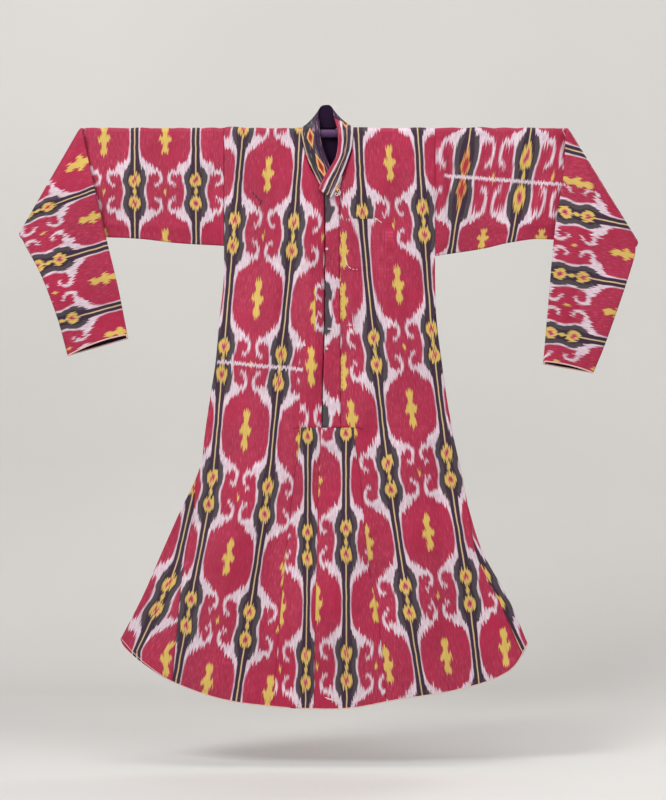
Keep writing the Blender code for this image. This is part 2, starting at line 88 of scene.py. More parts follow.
# The hem, from corner to corner
HEM = (
    # x, z
    (-0.445, -1.084), (-0.438, -1.086), (-0.412, -1.115), (-0.38, -1.143), (-0.325, -1.178),
    (-0.203, -1.216), (-0.074, -1.231), (0.049, -1.232), (0.162, -1.213), (0.274, -1.196), (0.334, -1.182),
    (0.38, -1.165), (0.411, -1.142), (0.437, -1.096),
)

# Neck edge and slit edge of the left front, and neck edge and band seam of the right front
LEFT_INNER = (
    # z, x
    (-0.64, -0.0065), (-0.51, -0.0033), (-0.42, -0.0006), (-0.122, -0.0012), (-0.102, -0.014),
    (-0.081, -0.0277), (-0.046, -0.0402), (-0.012, -0.0471), (0.012, -0.0462),
)
RIGHT_INNER = (
    # z, x
    (-0.64, 0.035), (-0.42, 0.034), (-0.24, 0.032), (-0.11, 0.035), (-0.076, 0.0441), (-0.044, 0.057),
    (-0.012, 0.0604), (0.012, 0.0613),
)
# Seams of the lower centre inset
INSET = (
    # z, left x, middle x, right x
    (-1.24, -0.11, -0.023, 0.1345), (-1.05, -0.096, -0.02, 0.117), (-0.917, -0.0835, -0.0165, 0.094),
    (-0.734, -0.064, -0.012, 0.0763), (-0.632, -0.0505, -0.0075, 0.0634), (0.02, -0.085, -0.0075, 0.1),
)
# Seams between the front or back and the side gores
GORE = {
    # z, x
    ("left", "front"): ((-1.19, -0.327), (-0.906, -0.3), (-0.837, -0.284), (-0.74, -0.2765)),
    ("left", "back"): ((-1.2, -0.3), (-1.0, -0.292), (-0.74, -0.2765)),
    ("right", "front"): ((-1.13, 0.43), (-1.01, 0.377), (-0.915, 0.33), (-0.79, 0.3065)),
    ("right", "back"): ((-1.21, 0.27), (-1.0, 0.296), (-0.79, 0.3065)),
}
GORE_TOP = {"left": -0.74, "right": -0.8}

# How far the walls stand from the middle of the body
DEPTH = (
    # z, front, back
    (-1.24, 0.036, 0.031), (-0.9, 0.03, 0.026), (-0.65, 0.024, 0.021), (-0.45, 0.019, 0.017),
    (-0.25, 0.0145, 0.0135), (-0.12, 0.0118, 0.0115), (0.0, WRAP, WRAP), (0.02, WRAP, WRAP),
)
# The largest folds, soft ridges (rise above 0) and troughs that grow downward
FOLDS = {
    "front": (
        # x top, z top, x foot, width, rise
        (-0.12, -0.28, -0.255, 0.04, 0.005), (-0.06, -0.12, -0.15, 0.03, -0.0035),
        (-0.024, -0.16, -0.06, 0.014, 0.0025), (0.085, -0.1, 0.165, 0.026, -0.0035),
        (0.15, -0.3, 0.255, 0.04, 0.005), (0.03, -0.7, 0.05, 0.022, 0.003),
    ),
    "back": (
        (-0.13, -0.25, -0.24, 0.045, 0.005), (-0.04, -0.15, -0.07, 0.04, -0.004),
        (0.06, -0.2, 0.11, 0.04, 0.0045), (0.15, -0.35, 0.25, 0.035, -0.0035),
    ),
}
FOLD_GROWTH = 0.3  # a fold reaches its full height this far below its top

# The sleeves, from above. Places are (distance from the middle, z)
SLEEVES = {
    "left": {
        "top corner": (0.5257, WRAP),
        "outer corner": (0.6547, -0.214),
        "underside": ((0.216, -0.239), (0.319, -0.233), (0.397, -0.223), (0.469, -0.219), (0.655, -0.215)),
        "inner edge": ((0.504, -0.07), (0.4698, -0.2182), (0.4429, -0.33), (0.4212, -0.44)),
        "outer edge": ((0.6375, -0.244), (0.6052, -0.3042), (0.5708, -0.3945), (0.548, -0.477)),
        "cuff gap": 0.0048,
    },
    "right": {
        "top corner": (0.524, WRAP),
        "outer corner": (0.6725, -0.2307),
        "underside": ((0.238, -0.261), (0.339, -0.245), (0.401, -0.2285), (0.47, -0.216), (0.672, -0.23)),
        "inner edge": ((0.5128, -0.0892), (0.4934, -0.2139), (0.4795, -0.37), (0.4689, -0.495)),
        "outer edge": ((0.6611, -0.2698), (0.6364, -0.3472), (0.6, -0.45), (0.574, -0.514)),
        "cuff gap": 0.003,
    },
}
FOLD_RADIUS = 0.004  # of the cloth's folded edge, away from the rod
SLEEVE_GAP = 0.002  # how far the upper sleeve's walls belly apart
LOWER_GAP = 0.003  # the same, at the top of the lower sleeve
LOWER_Y = (-0.0208, -0.019)  # the lower sleeve's middle, at the crease and at the cuff

# The collar's two edges: the seam, and the free edge
COLLAR = {
    # seam x, seam z, free x, free z, walls in front of the panel
    "left": (
        (-0.0475, 0.0135, -0.013, 0.034, 1.0), (-0.0484, 0.0075, -0.0103, 0.0247, 1.0),
        (-0.0484, -0.0075, -0.0097, 0.0118, 1.0), (-0.043, -0.0312, -0.0075, -0.014, 1.0),
        (-0.0355, -0.057, -0.001, -0.0376, 1.0), (-0.0204, -0.0892, 0.0097, -0.0656, 1.0),
        (-0.0054, -0.12, 0.0204, -0.0957, 1.0),
    ),
    "right": (
        (0.0624, 0.0135, 0.0204, 0.0333, 1.0), (0.0618, 0.0075, 0.0237, 0.0225, 1.0),
        (0.0613, -0.0075, 0.0269, 0.0095, 1.0), (0.0581, -0.0312, 0.029, -0.0204, 1.3),
        (0.0516, -0.0527, 0.0237, -0.0527, 2.1), (0.0398, -0.0849, 0.0075, -0.0806, 2.2),
        (0.0269, -0.1172, -0.0075, -0.107, 2.2), (0.0151, -0.1408, -0.0131, -0.1215, 2.2),
    ),
}
COLLAR_BACK = (
    # seam x, seam y, seam z, free x, free y, free z
    (-0.0475, 0.0004, 0.0135, -0.013, 0.0004, 0.034), (-0.043, 0.006, 0.0145, -0.0125, 0.0045, 0.047),
    (-0.032, 0.01, 0.0135, -0.0095, 0.0085, 0.056), (-0.012, 0.0101, 0.011, -0.005, 0.0105, 0.061),
    (0.007, 0.0101, 0.0107, 0.003, 0.011, 0.0625), (0.026, 0.0101, 0.011, 0.011, 0.0105, 0.062),
    (0.046, 0.01, 0.0135, 0.016, 0.0085, 0.056), (0.057, 0.006, 0.0145, 0.019, 0.0045, 0.046),
    (0.0624, 0.0004, 0.0135, 0.0204, 0.0004, 0.0333),
)
COLLAR_EASE = 0.0006  # added to a wall and a seam, where the collar turns over the rod
NECK = (-0.05, 0.064)  # the back wall stands straight up between these
NECK_EASE = 0.012

# The band along the slit
PLACKET_TOP = (-0.128, -0.092)  # z at the free edge and at the seam
PLACKET_X = 0.0012  # the free edge, to the right of the left front's slit edge
PLACKET_PROUD = 0.0022

# Mesh, seams and the finer details
SKIRT = 0.6  # height of the body below the cross seam, where the rows are shared out
HEM_DROP = 1.23  # the hem's depth, where the folds reach their feet
# Rough widths of the cloths and lengths of the sleeves, which the mesh's columns and rows are shared over
SPANS = {
    "back": 0.5, "front": 0.18, "slit": 0.05, "inset": 0.07, "round": 0.23, "upper": 0.29, "lower": 0.33,
}
NEAR_EDGE = (0.0015, 0.0035, 0.0065)  # the first rows of the mesh, from an edge
SIGN = {"left": -1, "right": 1}
OUT = {"front": -1, "back": 1}
WAYS = {"front": Vector((0, -1, 0)), "back": Vector((0, 1, 0))}
SLIT_ROLL = (0.0032, 0.012, 0.62, 0.10)  # rise and width of the roll by the slit, its foot, and its top
SLIT_EASE = 0.0008  # the slit's furrow is softer by this distance
# Soft folds of the sleeves: rise, width, and where they lie, as a, b and c of a * x + b * z + c = 0
SLEEVE_FOLDS = {
    "armhole": ((0.0046, 0.007, 1, 0.05, -0.252), (-0.004, 0.009, 1, 0, -0.268)),
    "bend": ((0.0045, 0.01, 1, -0.35, -0.5145), (-0.0012, 0.018, 1, 0, -0.455)),
    "underside": ((0.0018, 0.01, -0.05, 1, 0.22),),
    "lower": (
        (0.0022, 0.006, -1, 0.19, 0.518), (-0.002, 0.009, -1, 0.19, 0.534), (0.0022, 0.016, -1, 0.19, 0.585),
    ),
}
NOT_BARE = (99.0, 0.5)  # far from any bare line
CUFF_LENS = {"left": 0.0105, "right": 0.0075}  # how far the front of a cuff is drawn up
LENS_RUN = 0.12  # share of the lower sleeve over which it is drawn up
ROD_SPARE = 0.003  # the sleeve stays round for this far past the rod's end
FLOOR_Z = -1.36
HEM_STITCH = 0.009  # above the hem's edge
HEM_TAPE = 0.0013  # the tape's radius
STITCH = 0.003  # length of a seam's stitch
STITCH_STEP = 0.0105
SUNK = 0.0003  # a stitch's ends sink into the cloth
SEAM_MARGIN = 0.0035  # from a seam to its stitches

# Finer folds, on the cloth only
FINE_FOLDS = {
    "front": (
        # x top, z top, x foot, z foot, width, rise
        (-0.044, -0.055, -0.006, -0.17, 0.0045, 0.0026), (-0.034, -0.1, -0.018, -0.33, 0.0055, -0.0026),
        (0.044, -0.059, 0.03, -0.2, 0.0055, -0.0026), (-0.027, -0.15, -0.035, -0.44, 0.007, 0.0036),
        (-0.018, -0.33, -0.022, -0.6, 0.006, 0.003), (-0.044, -0.03, -0.089, -0.43, 0.011, -0.003),
        (-0.09, -0.2, -0.115, -0.52, 0.012, 0.0016), (-0.199, -0.01, -0.19, -0.28, 0.009, 0.0018),
        (0.081, -0.04, 0.128, -0.43, 0.011, -0.0024), (0.056, -0.12, 0.062, -0.6, 0.008, 0.0018),
        (0.218, -0.02, 0.208, -0.3, 0.01, 0.0018), (0.16, -0.33, 0.19, -0.62, 0.012, 0.0016),
        (-0.16, -0.3, -0.235, -1.23, 0.018, 0.003), (-0.08, -0.48, -0.134, -1.23, 0.014, -0.0026),
        (-0.034, -0.64, -0.062, -1.23, 0.01, 0.0022), (0.035, -0.64, 0.043, -1.23, 0.01, -0.0022),
        (0.119, -0.64, 0.162, -1.23, 0.015, 0.0026), (0.227, -0.52, 0.281, -1.23, 0.016, -0.0026),
        (-0.274, -0.75, -0.326, -1.2, 0.012, 0.0024), (0.33, -0.91, 0.425, -1.15, 0.012, 0.0024),
    ),
    "back": (
        (-0.07, -0.05, -0.12, -0.9, 0.014, 0.0022), (0.09, -0.05, 0.13, -0.9, 0.014, 0.0022),
        (-0.18, -0.3, -0.24, -1.23, 0.018, -0.0026), (0.01, -0.4, 0.005, -1.23, 0.016, 0.0024),
        (0.2, -0.3, 0.27, -1.23, 0.018, -0.0026),
    ),
}
FOLD_ENDS = 0.06  # a fine fold rises and dies away over this much of its height
TUCKS = (
    # z, first x, last x, rise
    (-0.1795, 0.044, 0.132, 0.0026), (-0.2913, 0.045, 0.11, 0.0024),
)
TOP_WAVE = 0.0046  # how far the cloth stands off the rod along the top edge, at most
TUCK_FALL = 0.03  # the cloth above a tuck comes back to the wall over this height
WRINKLE = 0.0015  # of the cloth's slight unevenness
ROLL_WIDTH = 0.0035  # of the furrow along a sewn edge

# The lines of the ikat columns, down the middle of each, with the repeat that each height is at
COLUMNS = {
    # z, x, repeat
    "front_left": (
        (
            (-1.298, -0.3408, 5.0), (-1.029, -0.2913, 4.0), (-0.768, -0.244, 3.0), (-0.488, -0.2182, 2.0),
            (-0.213, -0.1946, 1.0), (0.034, -0.1718, 0.0),
        ),
        (
            (-1.323, -0.2053, 5.0), (-1.055, -0.1645, 4.0), (-0.788, -0.1247, 3.0), (-0.505, -0.0957, 2.0),
            (-0.223, -0.0677, 1.0), (0.046, -0.0505, 0.0),
        ),
    ),
    "front_right": (
        (
            (-1.261, 0.2182, 5.0), (-1.0, 0.1774, 4.0), (-0.736, 0.1387, 3.0), (-0.469, 0.1086, 2.0),
            (-0.197, 0.0828, 1.0), (0.063, 0.0699, 0.0),
        ),
        (
            (-1.244, 0.3386, 5.0), (-0.98, 0.3075, 4.0), (-0.715, 0.2666, 3.0), (-0.448, 0.2333, 2.0),
            (-0.19, 0.2128, 1.0), (0.068, 0.1957, 0.0),
        ),
    ),
    "inset_left": (
        ((-1.411, -0.0419, 6.0), (-1.148, -0.0398, 5.0), (-0.884, -0.0365, 4.0), (-0.622, -0.0355, 3.0)),
        ((-1.411, 0.0681, 6.0), (-1.148, 0.0702, 5.0), (-0.884, 0.0735, 4.0), (-0.622, 0.0745, 3.0)),
    ),
    "inset_right": (
        ((-1.407, 0.0484, 6.0), (-1.143, 0.0473, 5.0), (-0.875, 0.0462, 4.0), (-0.616, 0.0462, 3.0)),
        ((-1.407, 0.1744, 6.0), (-1.143, 0.1733, 5.0), (-0.875, 0.1722, 4.0), (-0.616, 0.1722, 3.0)),
    ),
    "placket_band": (
        (
            (-0.914, -0.028, 4.0), (-0.65, -0.028, 3.0), (-0.5, -0.02, 2.5), (-0.373, -0.019, 2.0),
            (-0.21, -0.021, 1.3), (-0.142, -0.027, 1.0), (0.055, -0.027, 0.0),
        ),
        (
            (-0.914, 0.17, 4.0), (-0.65, 0.17, 3.0), (-0.5, 0.17, 2.5), (-0.373, 0.17, 2.0),
            (-0.21, 0.17, 1.3), (-0.142, 0.235, 1.0), (0.055, 0.235, 0.0),
        ),
    ),
    "back": (((-1.3, -0.215, 5.0), (0.02, -0.174, 0.1)), ((-1.3, -0.07, 5.0), (0.02, -0.051, 0.1))),
}
REPEAT = (126.0, 265.0)  # mm across and along one repeat of the ikat
FRONT_FLAT = {"left": (0.37, 1.26), "right": (0.4, 1.26)}
INSET_FLAT = {"left": (0.09, 0.61), "right": (0.15, 0.61)}
GORE_FLAT = {
    # width at its widest, length
    ("left", "front"): (0.13, 0.4),
    ("left", "back"): (0.15, 0.42),
    ("right", "front"): (0.03, 0.3),
    ("right", "back"): (0.17, 0.4),
}
GORE_COLUMNS = {
    # z and x down the middle of the gore's one column, which bends away from the seam
    "left": (
        (-1.112, -0.403), (-1.025, -0.3619), (-0.966, -0.3335), (-0.918, -0.3158), (-0.845, -0.2987),
        (-0.756, -0.2784),
    ),
    "right": ((-1.114, 0.4254), (-1.066, 0.4014), (-1.003, 0.3698), (-0.933, 0.335), (-0.8, 0.285)),
}
GORE_MIDDLE_Z = {"left": -0.9957, "right": -0.9777}  # height of the middle of a gourd
# The sleeves' columns. In the upper sleeve they stand nearly upright
SLEEVE_COLUMNS_AT = {
    # x of two columns at the top and how far they lean to the armhole for each metre down
    "left": (0.4074, 0.2763, 0.0, 0.0),
    "right": (0.3128, 0.4429, 0.156, 0.18),
}
SLEEVE_HEIGHTS = {
    # z, repeat
    "left": ((-0.2376, 0.5), (-0.1258, 0.0), (-0.014, -0.5), (0.0978, -1.0)),
    "right": (
        (-0.2676, 0.78), (-0.2247, 0.5), (-0.1828, 0.219), (-0.135, 0.1075), (-0.0957, 0.0),
        (-0.0563, -0.1075), (-0.0086, -0.219), (0.0333, -0.5),
    ),
}
LOWER_REPEAT = 0.2236
LOWER_SHIFT = {"left": 0.0, "right": 2.6}  # above this column the lower sleeve's repeat is half a repeat on
# In the lower sleeve, where the crosses lie along the inner edge, and which way the threads run
SLEEVE_CROSSES = {
    "left": (
        (0.53, 0.149), (0.5214, -0.0656), (0.4956, -0.1817), (0.4698, -0.3128), (0.4375, -0.4343),
        (0.41, -0.56),
    ),
    "right": (
        (0.4386, 0.1881), (0.4386, 0.0591), (0.4343, -0.0815), (0.4253, -0.2225), (0.4087, -0.3524),
        (0.3855, -0.4762),
    ),
}
SLEEVE_LIMIT = {"left": -1.455, "right": -0.455}  # by the armhole the next crosses are missing
SLEEVE_THREADS = {
    "left": (59, 66, 72, 74, 75, 76),
    "right": (72, 72, 76, 80, 81, 80),
}


# Where the warp was tied across and took no dye: from and to
BARE_LINES = {
    "front_left": ((-0.2298, -0.4904), (-0.0462, -0.5085)),
    "sleeve_right": ((0.257, -0.0914), (0.5106, -0.1107)),
}
# By the slit, the left front shows a strip whose columns go on from the band's
STRIP_X = (-0.0225, -0.0535)  # its far edge, above and below STRIP_Z
STRIP_Z = -0.415
STRIP_TOP = -0.3
STRIP_START = -0.275  # columns at x = 0
# Below the upper tuck, the cloth that it takes up is missing from the pattern
TUCK_CHART = {
    "heights": (-0.18, -0.29, -0.415),
    "edges": (0.04, 0.128, 0.148),
    "repeat": 1.26,
    "column": 0.36,
}
# Three crosses on the edge beside the band: x and z, and how far up and down each chart goes
EDGE_CROSSES = ((0.0415, -0.2505), (0.0395, -0.3608), (0.0405, -0.513))
EDGE_CHART = (0.053, 0.045)

# Stripes across a collar band, from its seam to its free edge
COLLAR_STRIPES = {
    "left": (
        (0.0, "D8C0B4"), (0.05, "C9A27E"), (0.08, "332C36"), (0.4, "2C2430"), (0.62, "4C4450"),
        (0.72, "2A1030"), (0.86, "3A1A3E"), (1.0, "240A28"),
    ),
    "right": (
        (0.0, "C9B4B8"), (0.1, "DCCFD6"), (0.16, "332C36"), (0.33, "3A2340"), (0.37, "E0B080"),
        (0.42, "332C36"), (0.6, "2C2430"), (0.64, "D8CCD2"), (0.71, "D0B8C0"), (0.76, "A82244"),
        (1.0, "98183A"),
    ),
}
# Diamonds on the collar: share across and share down the band, with half sizes
DIAMONDS = {"left": ((0.44, 0.4), (0.5, 0.81)), "right": ((0.44, 0.02),)}
DIAMOND_SIZE = (0.2, 0.165)

# Pale thread loops on the knot, painted highlight where the knot shows white glints: places from its middle,
# half widths, half heights and lean in radians
KNOT_GLINT_LOOPS = (
    (0.003, 0.0035, 0.0028, 0.0046, 0.5), (0.0042, -0.001, 0.0022, 0.004, -0.3),
    (-0.0016, -0.0034, 0.0024, 0.0034, 0.9),
)
# Mends, each a set of stitches from one place to the next on the front, and the yarn
MENDS = (
    (
        "thread",
        ((0.0035, -0.4185), (0.0155, -0.42)), ((0.004, -0.421), (0.015, -0.422)),
        ((0.1066, -0.1815), (0.115, -0.186)), ((0.1155, -0.1875), (0.123, -0.1925)),
        ((0.108, -0.185), (0.112, -0.1865)),
    ),
    (
        "crimson",
        ((0.0045, -0.4265), (0.015, -0.4275)), ((0.005, -0.431), (0.0145, -0.4325)),
        ((0.005, -0.4355), (0.014, -0.4365)),
    ),
    (
        "thread",
        ((0.044, -0.268), (0.0458, -0.276)), ((0.0462, -0.2785), (0.05, -0.2855)),
        ((0.0512, -0.2872), (0.057, -0.2915)), ((0.059, -0.2925), (0.065, -0.293)),
        ((0.067, -0.293), (0.072, -0.2925)),
    ),
    (
        "thread",
        ((0.001, -1.2085), (0.015, -1.212)), ((0.005, -1.2115), (0.021, -1.215)),
        ((0.017, -1.214), (0.029, -1.2155)),
    ),
    (
        "dark",
        ((-0.156, -0.127), (-0.15, -0.133)), ((-0.149, -0.134), (-0.143, -0.1405)),
        ((-0.142, -0.1415), (-0.135, -0.148)), ((-0.1345, -0.1485), (-0.14, -0.1555)),
        ((-0.152, -0.1275), (-0.1535, -0.133)), ((-0.1455, -0.1335), (-0.1475, -0.1395)),
        ((-0.1395, -0.1395), (-0.142, -0.1455)), ((-0.134, -0.144), (-0.1375, -0.15)),
    ),
)
KNOT_TURNS = ((0.3, 0.0), (1.2, 0.8), (1.5, 2.2), (0.9, 3.6), (2.2, 4.6))  # tilt and spin in radians
BUTTON_CROSS = 0.0009  # half the width of the stitches across a button


def read(table, at, column=1):
    """A smooth value from a table whose first column rises, level past both ends."""
    if at <= table[0][0]:
        return table[0][column]
    if at >= table[-1][0]:
        return table[-1][column]
    last = len(table) - 1
    i = max(k for k in range(last) if table[k][0] <= at)

    def slope(k):
        low, high = max(k - 1, 0), min(k + 1, last)
        return (table[high][column] - table[low][column]) / (table[high][0] - table[low][0])

    span = table[i + 1][0] - table[i][0]
    t = (at - table[i][0]) / span
    start, end = table[i][column], table[i + 1][column]
    return (
        start * (1 + 2 * t) * (1 - t) ** 2
        + end * t * t * (3 - 2 * t)
        + span * (slope(i) * t * (1 - t) ** 2 - slope(i + 1) * t * t * (1 - t))
    )


def mix(a, b, t):
    return a + (b - a) * t


def ease(t):
    """From 0 to 1, level at both ends."""
    t = min(1.0, max(0.0, t))
    return t * t * (3 - 2 * t)


def bell(away, width):
    """1 in the middle of a fold, and less to both sides."""
    return math.exp(-((away / width) ** 2))


def numbered(stations):
    """A table of stations, each after its share of the way."""
    return [(k / (len(stations) - 1), *station) for k, station in enumerate(stations)]


def sleeve_taper(share):
    """Half the gap between a sleeve's walls at the armhole, from the rod (0) to the underside (1)."""
    return mix(WRAP, EDGE, share * share) + SLEEVE_GAP * math.sin(math.pi * share)


def side_depth(side, z):
    """Half the gap between the front and back walls at a side edge."""
    foot = ARMHOLE[side][1]
    return EDGE if z <= foot else sleeve_taper(max(0.0, z / foot))


def depth(face, x, z):
    """How far a wall's middle stands from the middle of the body."""
    left, right = read(SIDES, z, 1), read(SIDES, z, 2)
    across = min(1.0, max(0.0, (x - left) / (right - left)))
    full = read(DEPTH, z, 1 if face == "front" else 2)
    fullness = ease(min(across, 1 - across) / SIDE_FLAT)
    for x_top, z_top, x_foot, width, rise in FOLDS[face]:
        down = (z_top - z) / (z_top + HEM_DROP)
        if down > 0:
            full += rise * ease((z_top - z) / FOLD_GROWTH) * bell(x - mix(x_top, x_foot, down), width)
    return mix(side_depth("left" if across < 0.5 else "right", z), full, fullness)


def row_z(v, hem_z):
    """Height of a row: -1 is the shoulder line, 0 the rod's middle, 1 the cross seam, 2 the hem."""
    if v <= 0:
        return WRAP * math.cos((v + 1) * math.pi / 2)
    if v <= 1:
        return CROSS_SEAM_Z * v
    return mix(CROSS_SEAM_Z, hem_z, v - 1)


def body_point(face, x, v, hem_z):
    """A point of the body's front or back wall."""
    z = row_z(v, hem_z)
    if v > 0:
        return Vector((x, OUT[face] * depth(face, x, z), z))
    y = max(SEAM / 2, WRAP * math.sin((v + 1) * math.pi / 2))
    if face == "back":
        upright = ease((x - NECK[0]) / NECK_EASE + 0.5) * ease((NECK[1] - x) / NECK_EASE + 0.5)
        y = mix(y, WRAP, upright)
    return Vector((x, OUT[face] * y, z))


def side_x(side, z):
    return read(SIDES, z, 1 if side == "left" else 2)


@lru_cache(maxsize=None)
def foot_of(table, column=1):
    """Where a seam that runs down to the hem meets it: x and z."""
    x = table[0][column]
    for _ in range(8):
        x = read(table, read(HEM, x), column)
    return x, read(HEM, x)


@lru_cache(maxsize=None)
def outer_edge(side, face, v):
    """The outer edge of a front or back panel: the armhole and side seam, then the seam of the gore."""
    foot_x, hem_z = foot_of(GORE[side, face])
    z = row_z(v, hem_z)
    return (side_x(side, z) if z > GORE_TOP[side] else read(GORE[side, face], z)), z, foot_x


def section(k, width, radius, belly):
    """Across a sleeve from its folded edge: the distance down, and half the gap between the walls."""
    if k <= ARC_COLUMNS:
        angle = k / ARC_COLUMNS * math.pi / 2
        return radius * (1 - math.cos(angle)), radius * math.sin(angle)
    share = (k - ARC_COLUMNS) / FLAT_COLUMNS
    gap = mix(radius, EDGE, share * share) + belly * math.sin(math.pi * share)
    return mix(radius, width, share), gap


def along(edge, share):
    """A point of an edge given by its knots, at a share of their number."""
    table = numbered(edge)
    return Vector((read(table, share, 1), read(table, share, 2)))


def crease(sleeve, k):
    """The bend at column k of a sleeve: its axis there, its two radii, and the gaps of the walls it joins."""
    top, foot = Vector(sleeve["top corner"]), Vector(sleeve["outer corner"])
    width = (foot - top).length
    run = (foot - top) / width
    outward = Vector((-run.y, run.x))
    down, upper_gap = section(k, width, FOLD_RADIUS, SLEEVE_GAP)
    _, lower_gap = section(k, width, FOLD_RADIUS, LOWER_GAP)
    outer = (upper_gap - LOWER_Y[0] + lower_gap) / 2
    inset_by = outer + WALL / 2
    return {
        "axis": top + run * down - outward * inset_by,
        "outward": outward,
        "drift": -run * inset_by * outward.y / run.y,  # the cloth slides along the crease as it turns
        "outer": outer,
        "inner": (-upper_gap - LOWER_Y[0] - lower_gap) / 2,
        "upper gap": upper_gap,
        "lower gap": lower_gap,
        "share": down / width,
    }


def beside_bend(sleeve, k, below=False):
    """Where the cloth reaches the bend at column k, from above or below."""
    bend = crease(sleeve, k)
    return bend["axis"] + bend["drift"] if below else bend["axis"] - bend["drift"]


def upper_place(sleeve, k, s):
    """A point of the upper sleeve in elevation, and half the gap there; s runs from armhole to crease."""
    arm_x, arm_z = sleeve["underside"][0]
    rod_end = (ROD_LENGTH / 2 + ROD_SPARE - arm_x) / (beside_bend(sleeve, 0).x - arm_x)
    past_rod = ease((s - rod_end) / (1 - rod_end))
    width = WRAP - arm_z
    down, gap = section(k, width, mix(WRAP, FOLD_RADIUS, past_rod), SLEEVE_GAP)
    rod_down, _ = section(k, width, WRAP, SLEEVE_GAP)
    fold_down, _ = section(k, width, FOLD_RADIUS, SLEEVE_GAP)
    place = Vector((arm_x, WRAP - rod_down)).lerp(beside_bend(sleeve, k), s)
    place.y -= down - mix(rod_down, fold_down, s)
    foot = Vector((arm_x, arm_z)).lerp(beside_bend(sleeve, SLEEVE_COLUMNS), s)
    sag = read(sleeve["underside"], foot.x) - foot.y
    place.y += sag * (rod_down / width) ** 3 * (1 - s * s)
    return place, gap


def lower_place(sleeve, k, s):
    """A point of the lower sleeve in elevation, its middle depth and half its gap; s runs to the cuff."""
    start, share = beside_bend(sleeve, k, below=True), crease(sleeve, k)["share"]
    first, last = (beside_bend(sleeve, column, below=True) for column in (0, SLEEVE_COLUMNS))
    inner = along((first, *sleeve["inner edge"]), s)
    outer = along((last, *sleeve["outer edge"]), s)
    width = (outer - inner).length
    down, gap = section(k, width, FOLD_RADIUS, mix(LOWER_GAP, sleeve["cuff gap"], s))
    place = inner.lerp(outer, mix(share, down / width, ease(s * 3)))
    place += (start - first.lerp(last, share)) * (1 - ease(s * 2))
    return place, mix(LOWER_Y[0], LOWER_Y[1], s), gap


def sleeve_point(side, part, outside, k, row):
    """A point of a sleeve wall. Rows 0 to 1 run along the cloth, and 1 to 2 round the bend to its middle."""
    sleeve, sign = SLEEVES[side], SIGN[side]
    if row > 1:
        bend = crease(sleeve, k)
        radius = bend["outer" if outside else "inner"]
        angle = (row - 1) * (math.pi / 2 - SEAM / 2 / radius)
        if part == "lower":
            angle = math.pi - angle
        away = 1 if outside else -1
        middle_y = (away * bend["upper gap"] + LOWER_Y[0] - away * bend["lower gap"]) / 2
        place = bend["axis"] + bend["outward"] * radius * math.sin(angle)
        place += bend["drift"] * (angle / (math.pi / 2) - 1)
        return Vector((sign * place.x, middle_y + radius * math.cos(angle), place.y))
    if part == "upper":
        place, gap = upper_place(sleeve, k, row)
        place.x += SEAM / 2 * (1 - row)
        return Vector((sign * place.x, gap if outside else -gap, place.y))
    place, centre, gap = lower_place(sleeve, k, 1 - row)
    return Vector((sign * place.x, centre + (-gap if outside else gap), place.y))


def over_rod(x, z, walls):
    """How far in front of the middle a piece lies, so many walls in front of the panel."""
    if z <= 0:
        return depth("front", x, z) + walls * LAP + COLLAR_EASE
    radius = WRAP + LAP + COLLAR_EASE
    return math.sqrt(max(0.0, radius * radius - z * z))


def srgb(text):
    """A linear colour from its sRGB hex."""
    parts = [int(text[k : k + 2], 16) / 255 for k in (0, 2, 4)]
    return tuple(c / 12.92 if c <= 0.04045 else ((c + 0.055) / 1.055) ** 2.4 for c in parts)


def length(name, about, size):
    return bpy.props.FloatProperty(name=name, description=about, default=size, unit="LENGTH")


def dye(name, about, text):
    return bpy.props.FloatVectorProperty(
        name=name, description=about, subtype="COLOR", min=0, max=1, default=srgb(text)
    )


class RobeSizes(bpy.types.PropertyGroup):
    wall: length("Cloth", "Thickness of the cloth with its lining", WALL)
    mesh: length("Mesh", "Distance between the mesh's rows", 0.0048)
    roll: length("Seam furrow", "How far a sewn edge pulls in", 0.0011)
    tape: length("Cuff tape", "Radius of the tape round a cuff", 0.0017)
    thread: length("Thread", "Radius of the mending thread", 0.0007)


class RobeColours(bpy.types.PropertyGroup):
    crimson: dye("Crimson", "The ikat's ground", "B22A4C")
    white: dye("White", "The ikat's undyed warp", "E6D6DD")
    grey: dye("Grey", "The gourds' outer part", "493E45")
    aubergine: dye("Aubergine", "The gourds' middle", "351B33")
    yellow: dye("Yellow", "Rosettes and crosses", "DAB75C")
    line: dye("Line", "Thin line down a column", "E0C490")
    pink: dye("Pink", "Middle of a rosette", "C85070")
    red: dye("Red", "Heart of a rosette", "A01830")
    # The lining's own purple, set darker as painted shade so that the inside of the neck reads as deep shadow
    lining: dye("Lining", "The lining's purple", "16041C")


def sizes():
    return bpy.context.scene.robe_sizes


def colours():
    """The colours that the materials take, each with its alpha."""
    group = bpy.context.scene.robe_colours
    return {name: (*getattr(group, name), 1.0) for name in RobeColours.__annotations__}


# Materials: short names for the nodes, each with its settings
NODES = {
    "uv": ("ShaderNodeUVMap", {}),
    "place": ("ShaderNodeTexCoord", {}),
    "split": ("ShaderNodeSeparateXYZ", {}),
    "join": ("ShaderNodeCombineXYZ", {}),
    "noise": ("ShaderNodeTexNoise", {}),
    "range": ("ShaderNodeMapRange", {}),
    "ramp": ("ShaderNodeValToRGB", {}),
    "curve": ("ShaderNodeFloatCurve", {}),
    "bump": ("ShaderNodeBump", {}),
    "shader": ("ShaderNodeBsdfPrincipled", {}),
    "output": ("ShaderNodeOutputMaterial", {}),
    "blend": ("ShaderNodeMix", {"data_type": "RGBA"}),
    "tint": ("ShaderNodeMix", {"data_type": "RGBA", "blend_type": "MULTIPLY"}),
}
for word, operation in (
    ("plus", "ADD"), ("less", "SUBTRACT"), ("times", "MULTIPLY"), ("over", "DIVIDE"),
    ("lesser", "MINIMUM"), ("greater", "MAXIMUM"), ("size", "ABSOLUTE"), ("sine", "SINE"),
    ("to and fro", "PINGPONG"),
):
    NODES[word] = ("ShaderNodeMath", {"operation": operation})
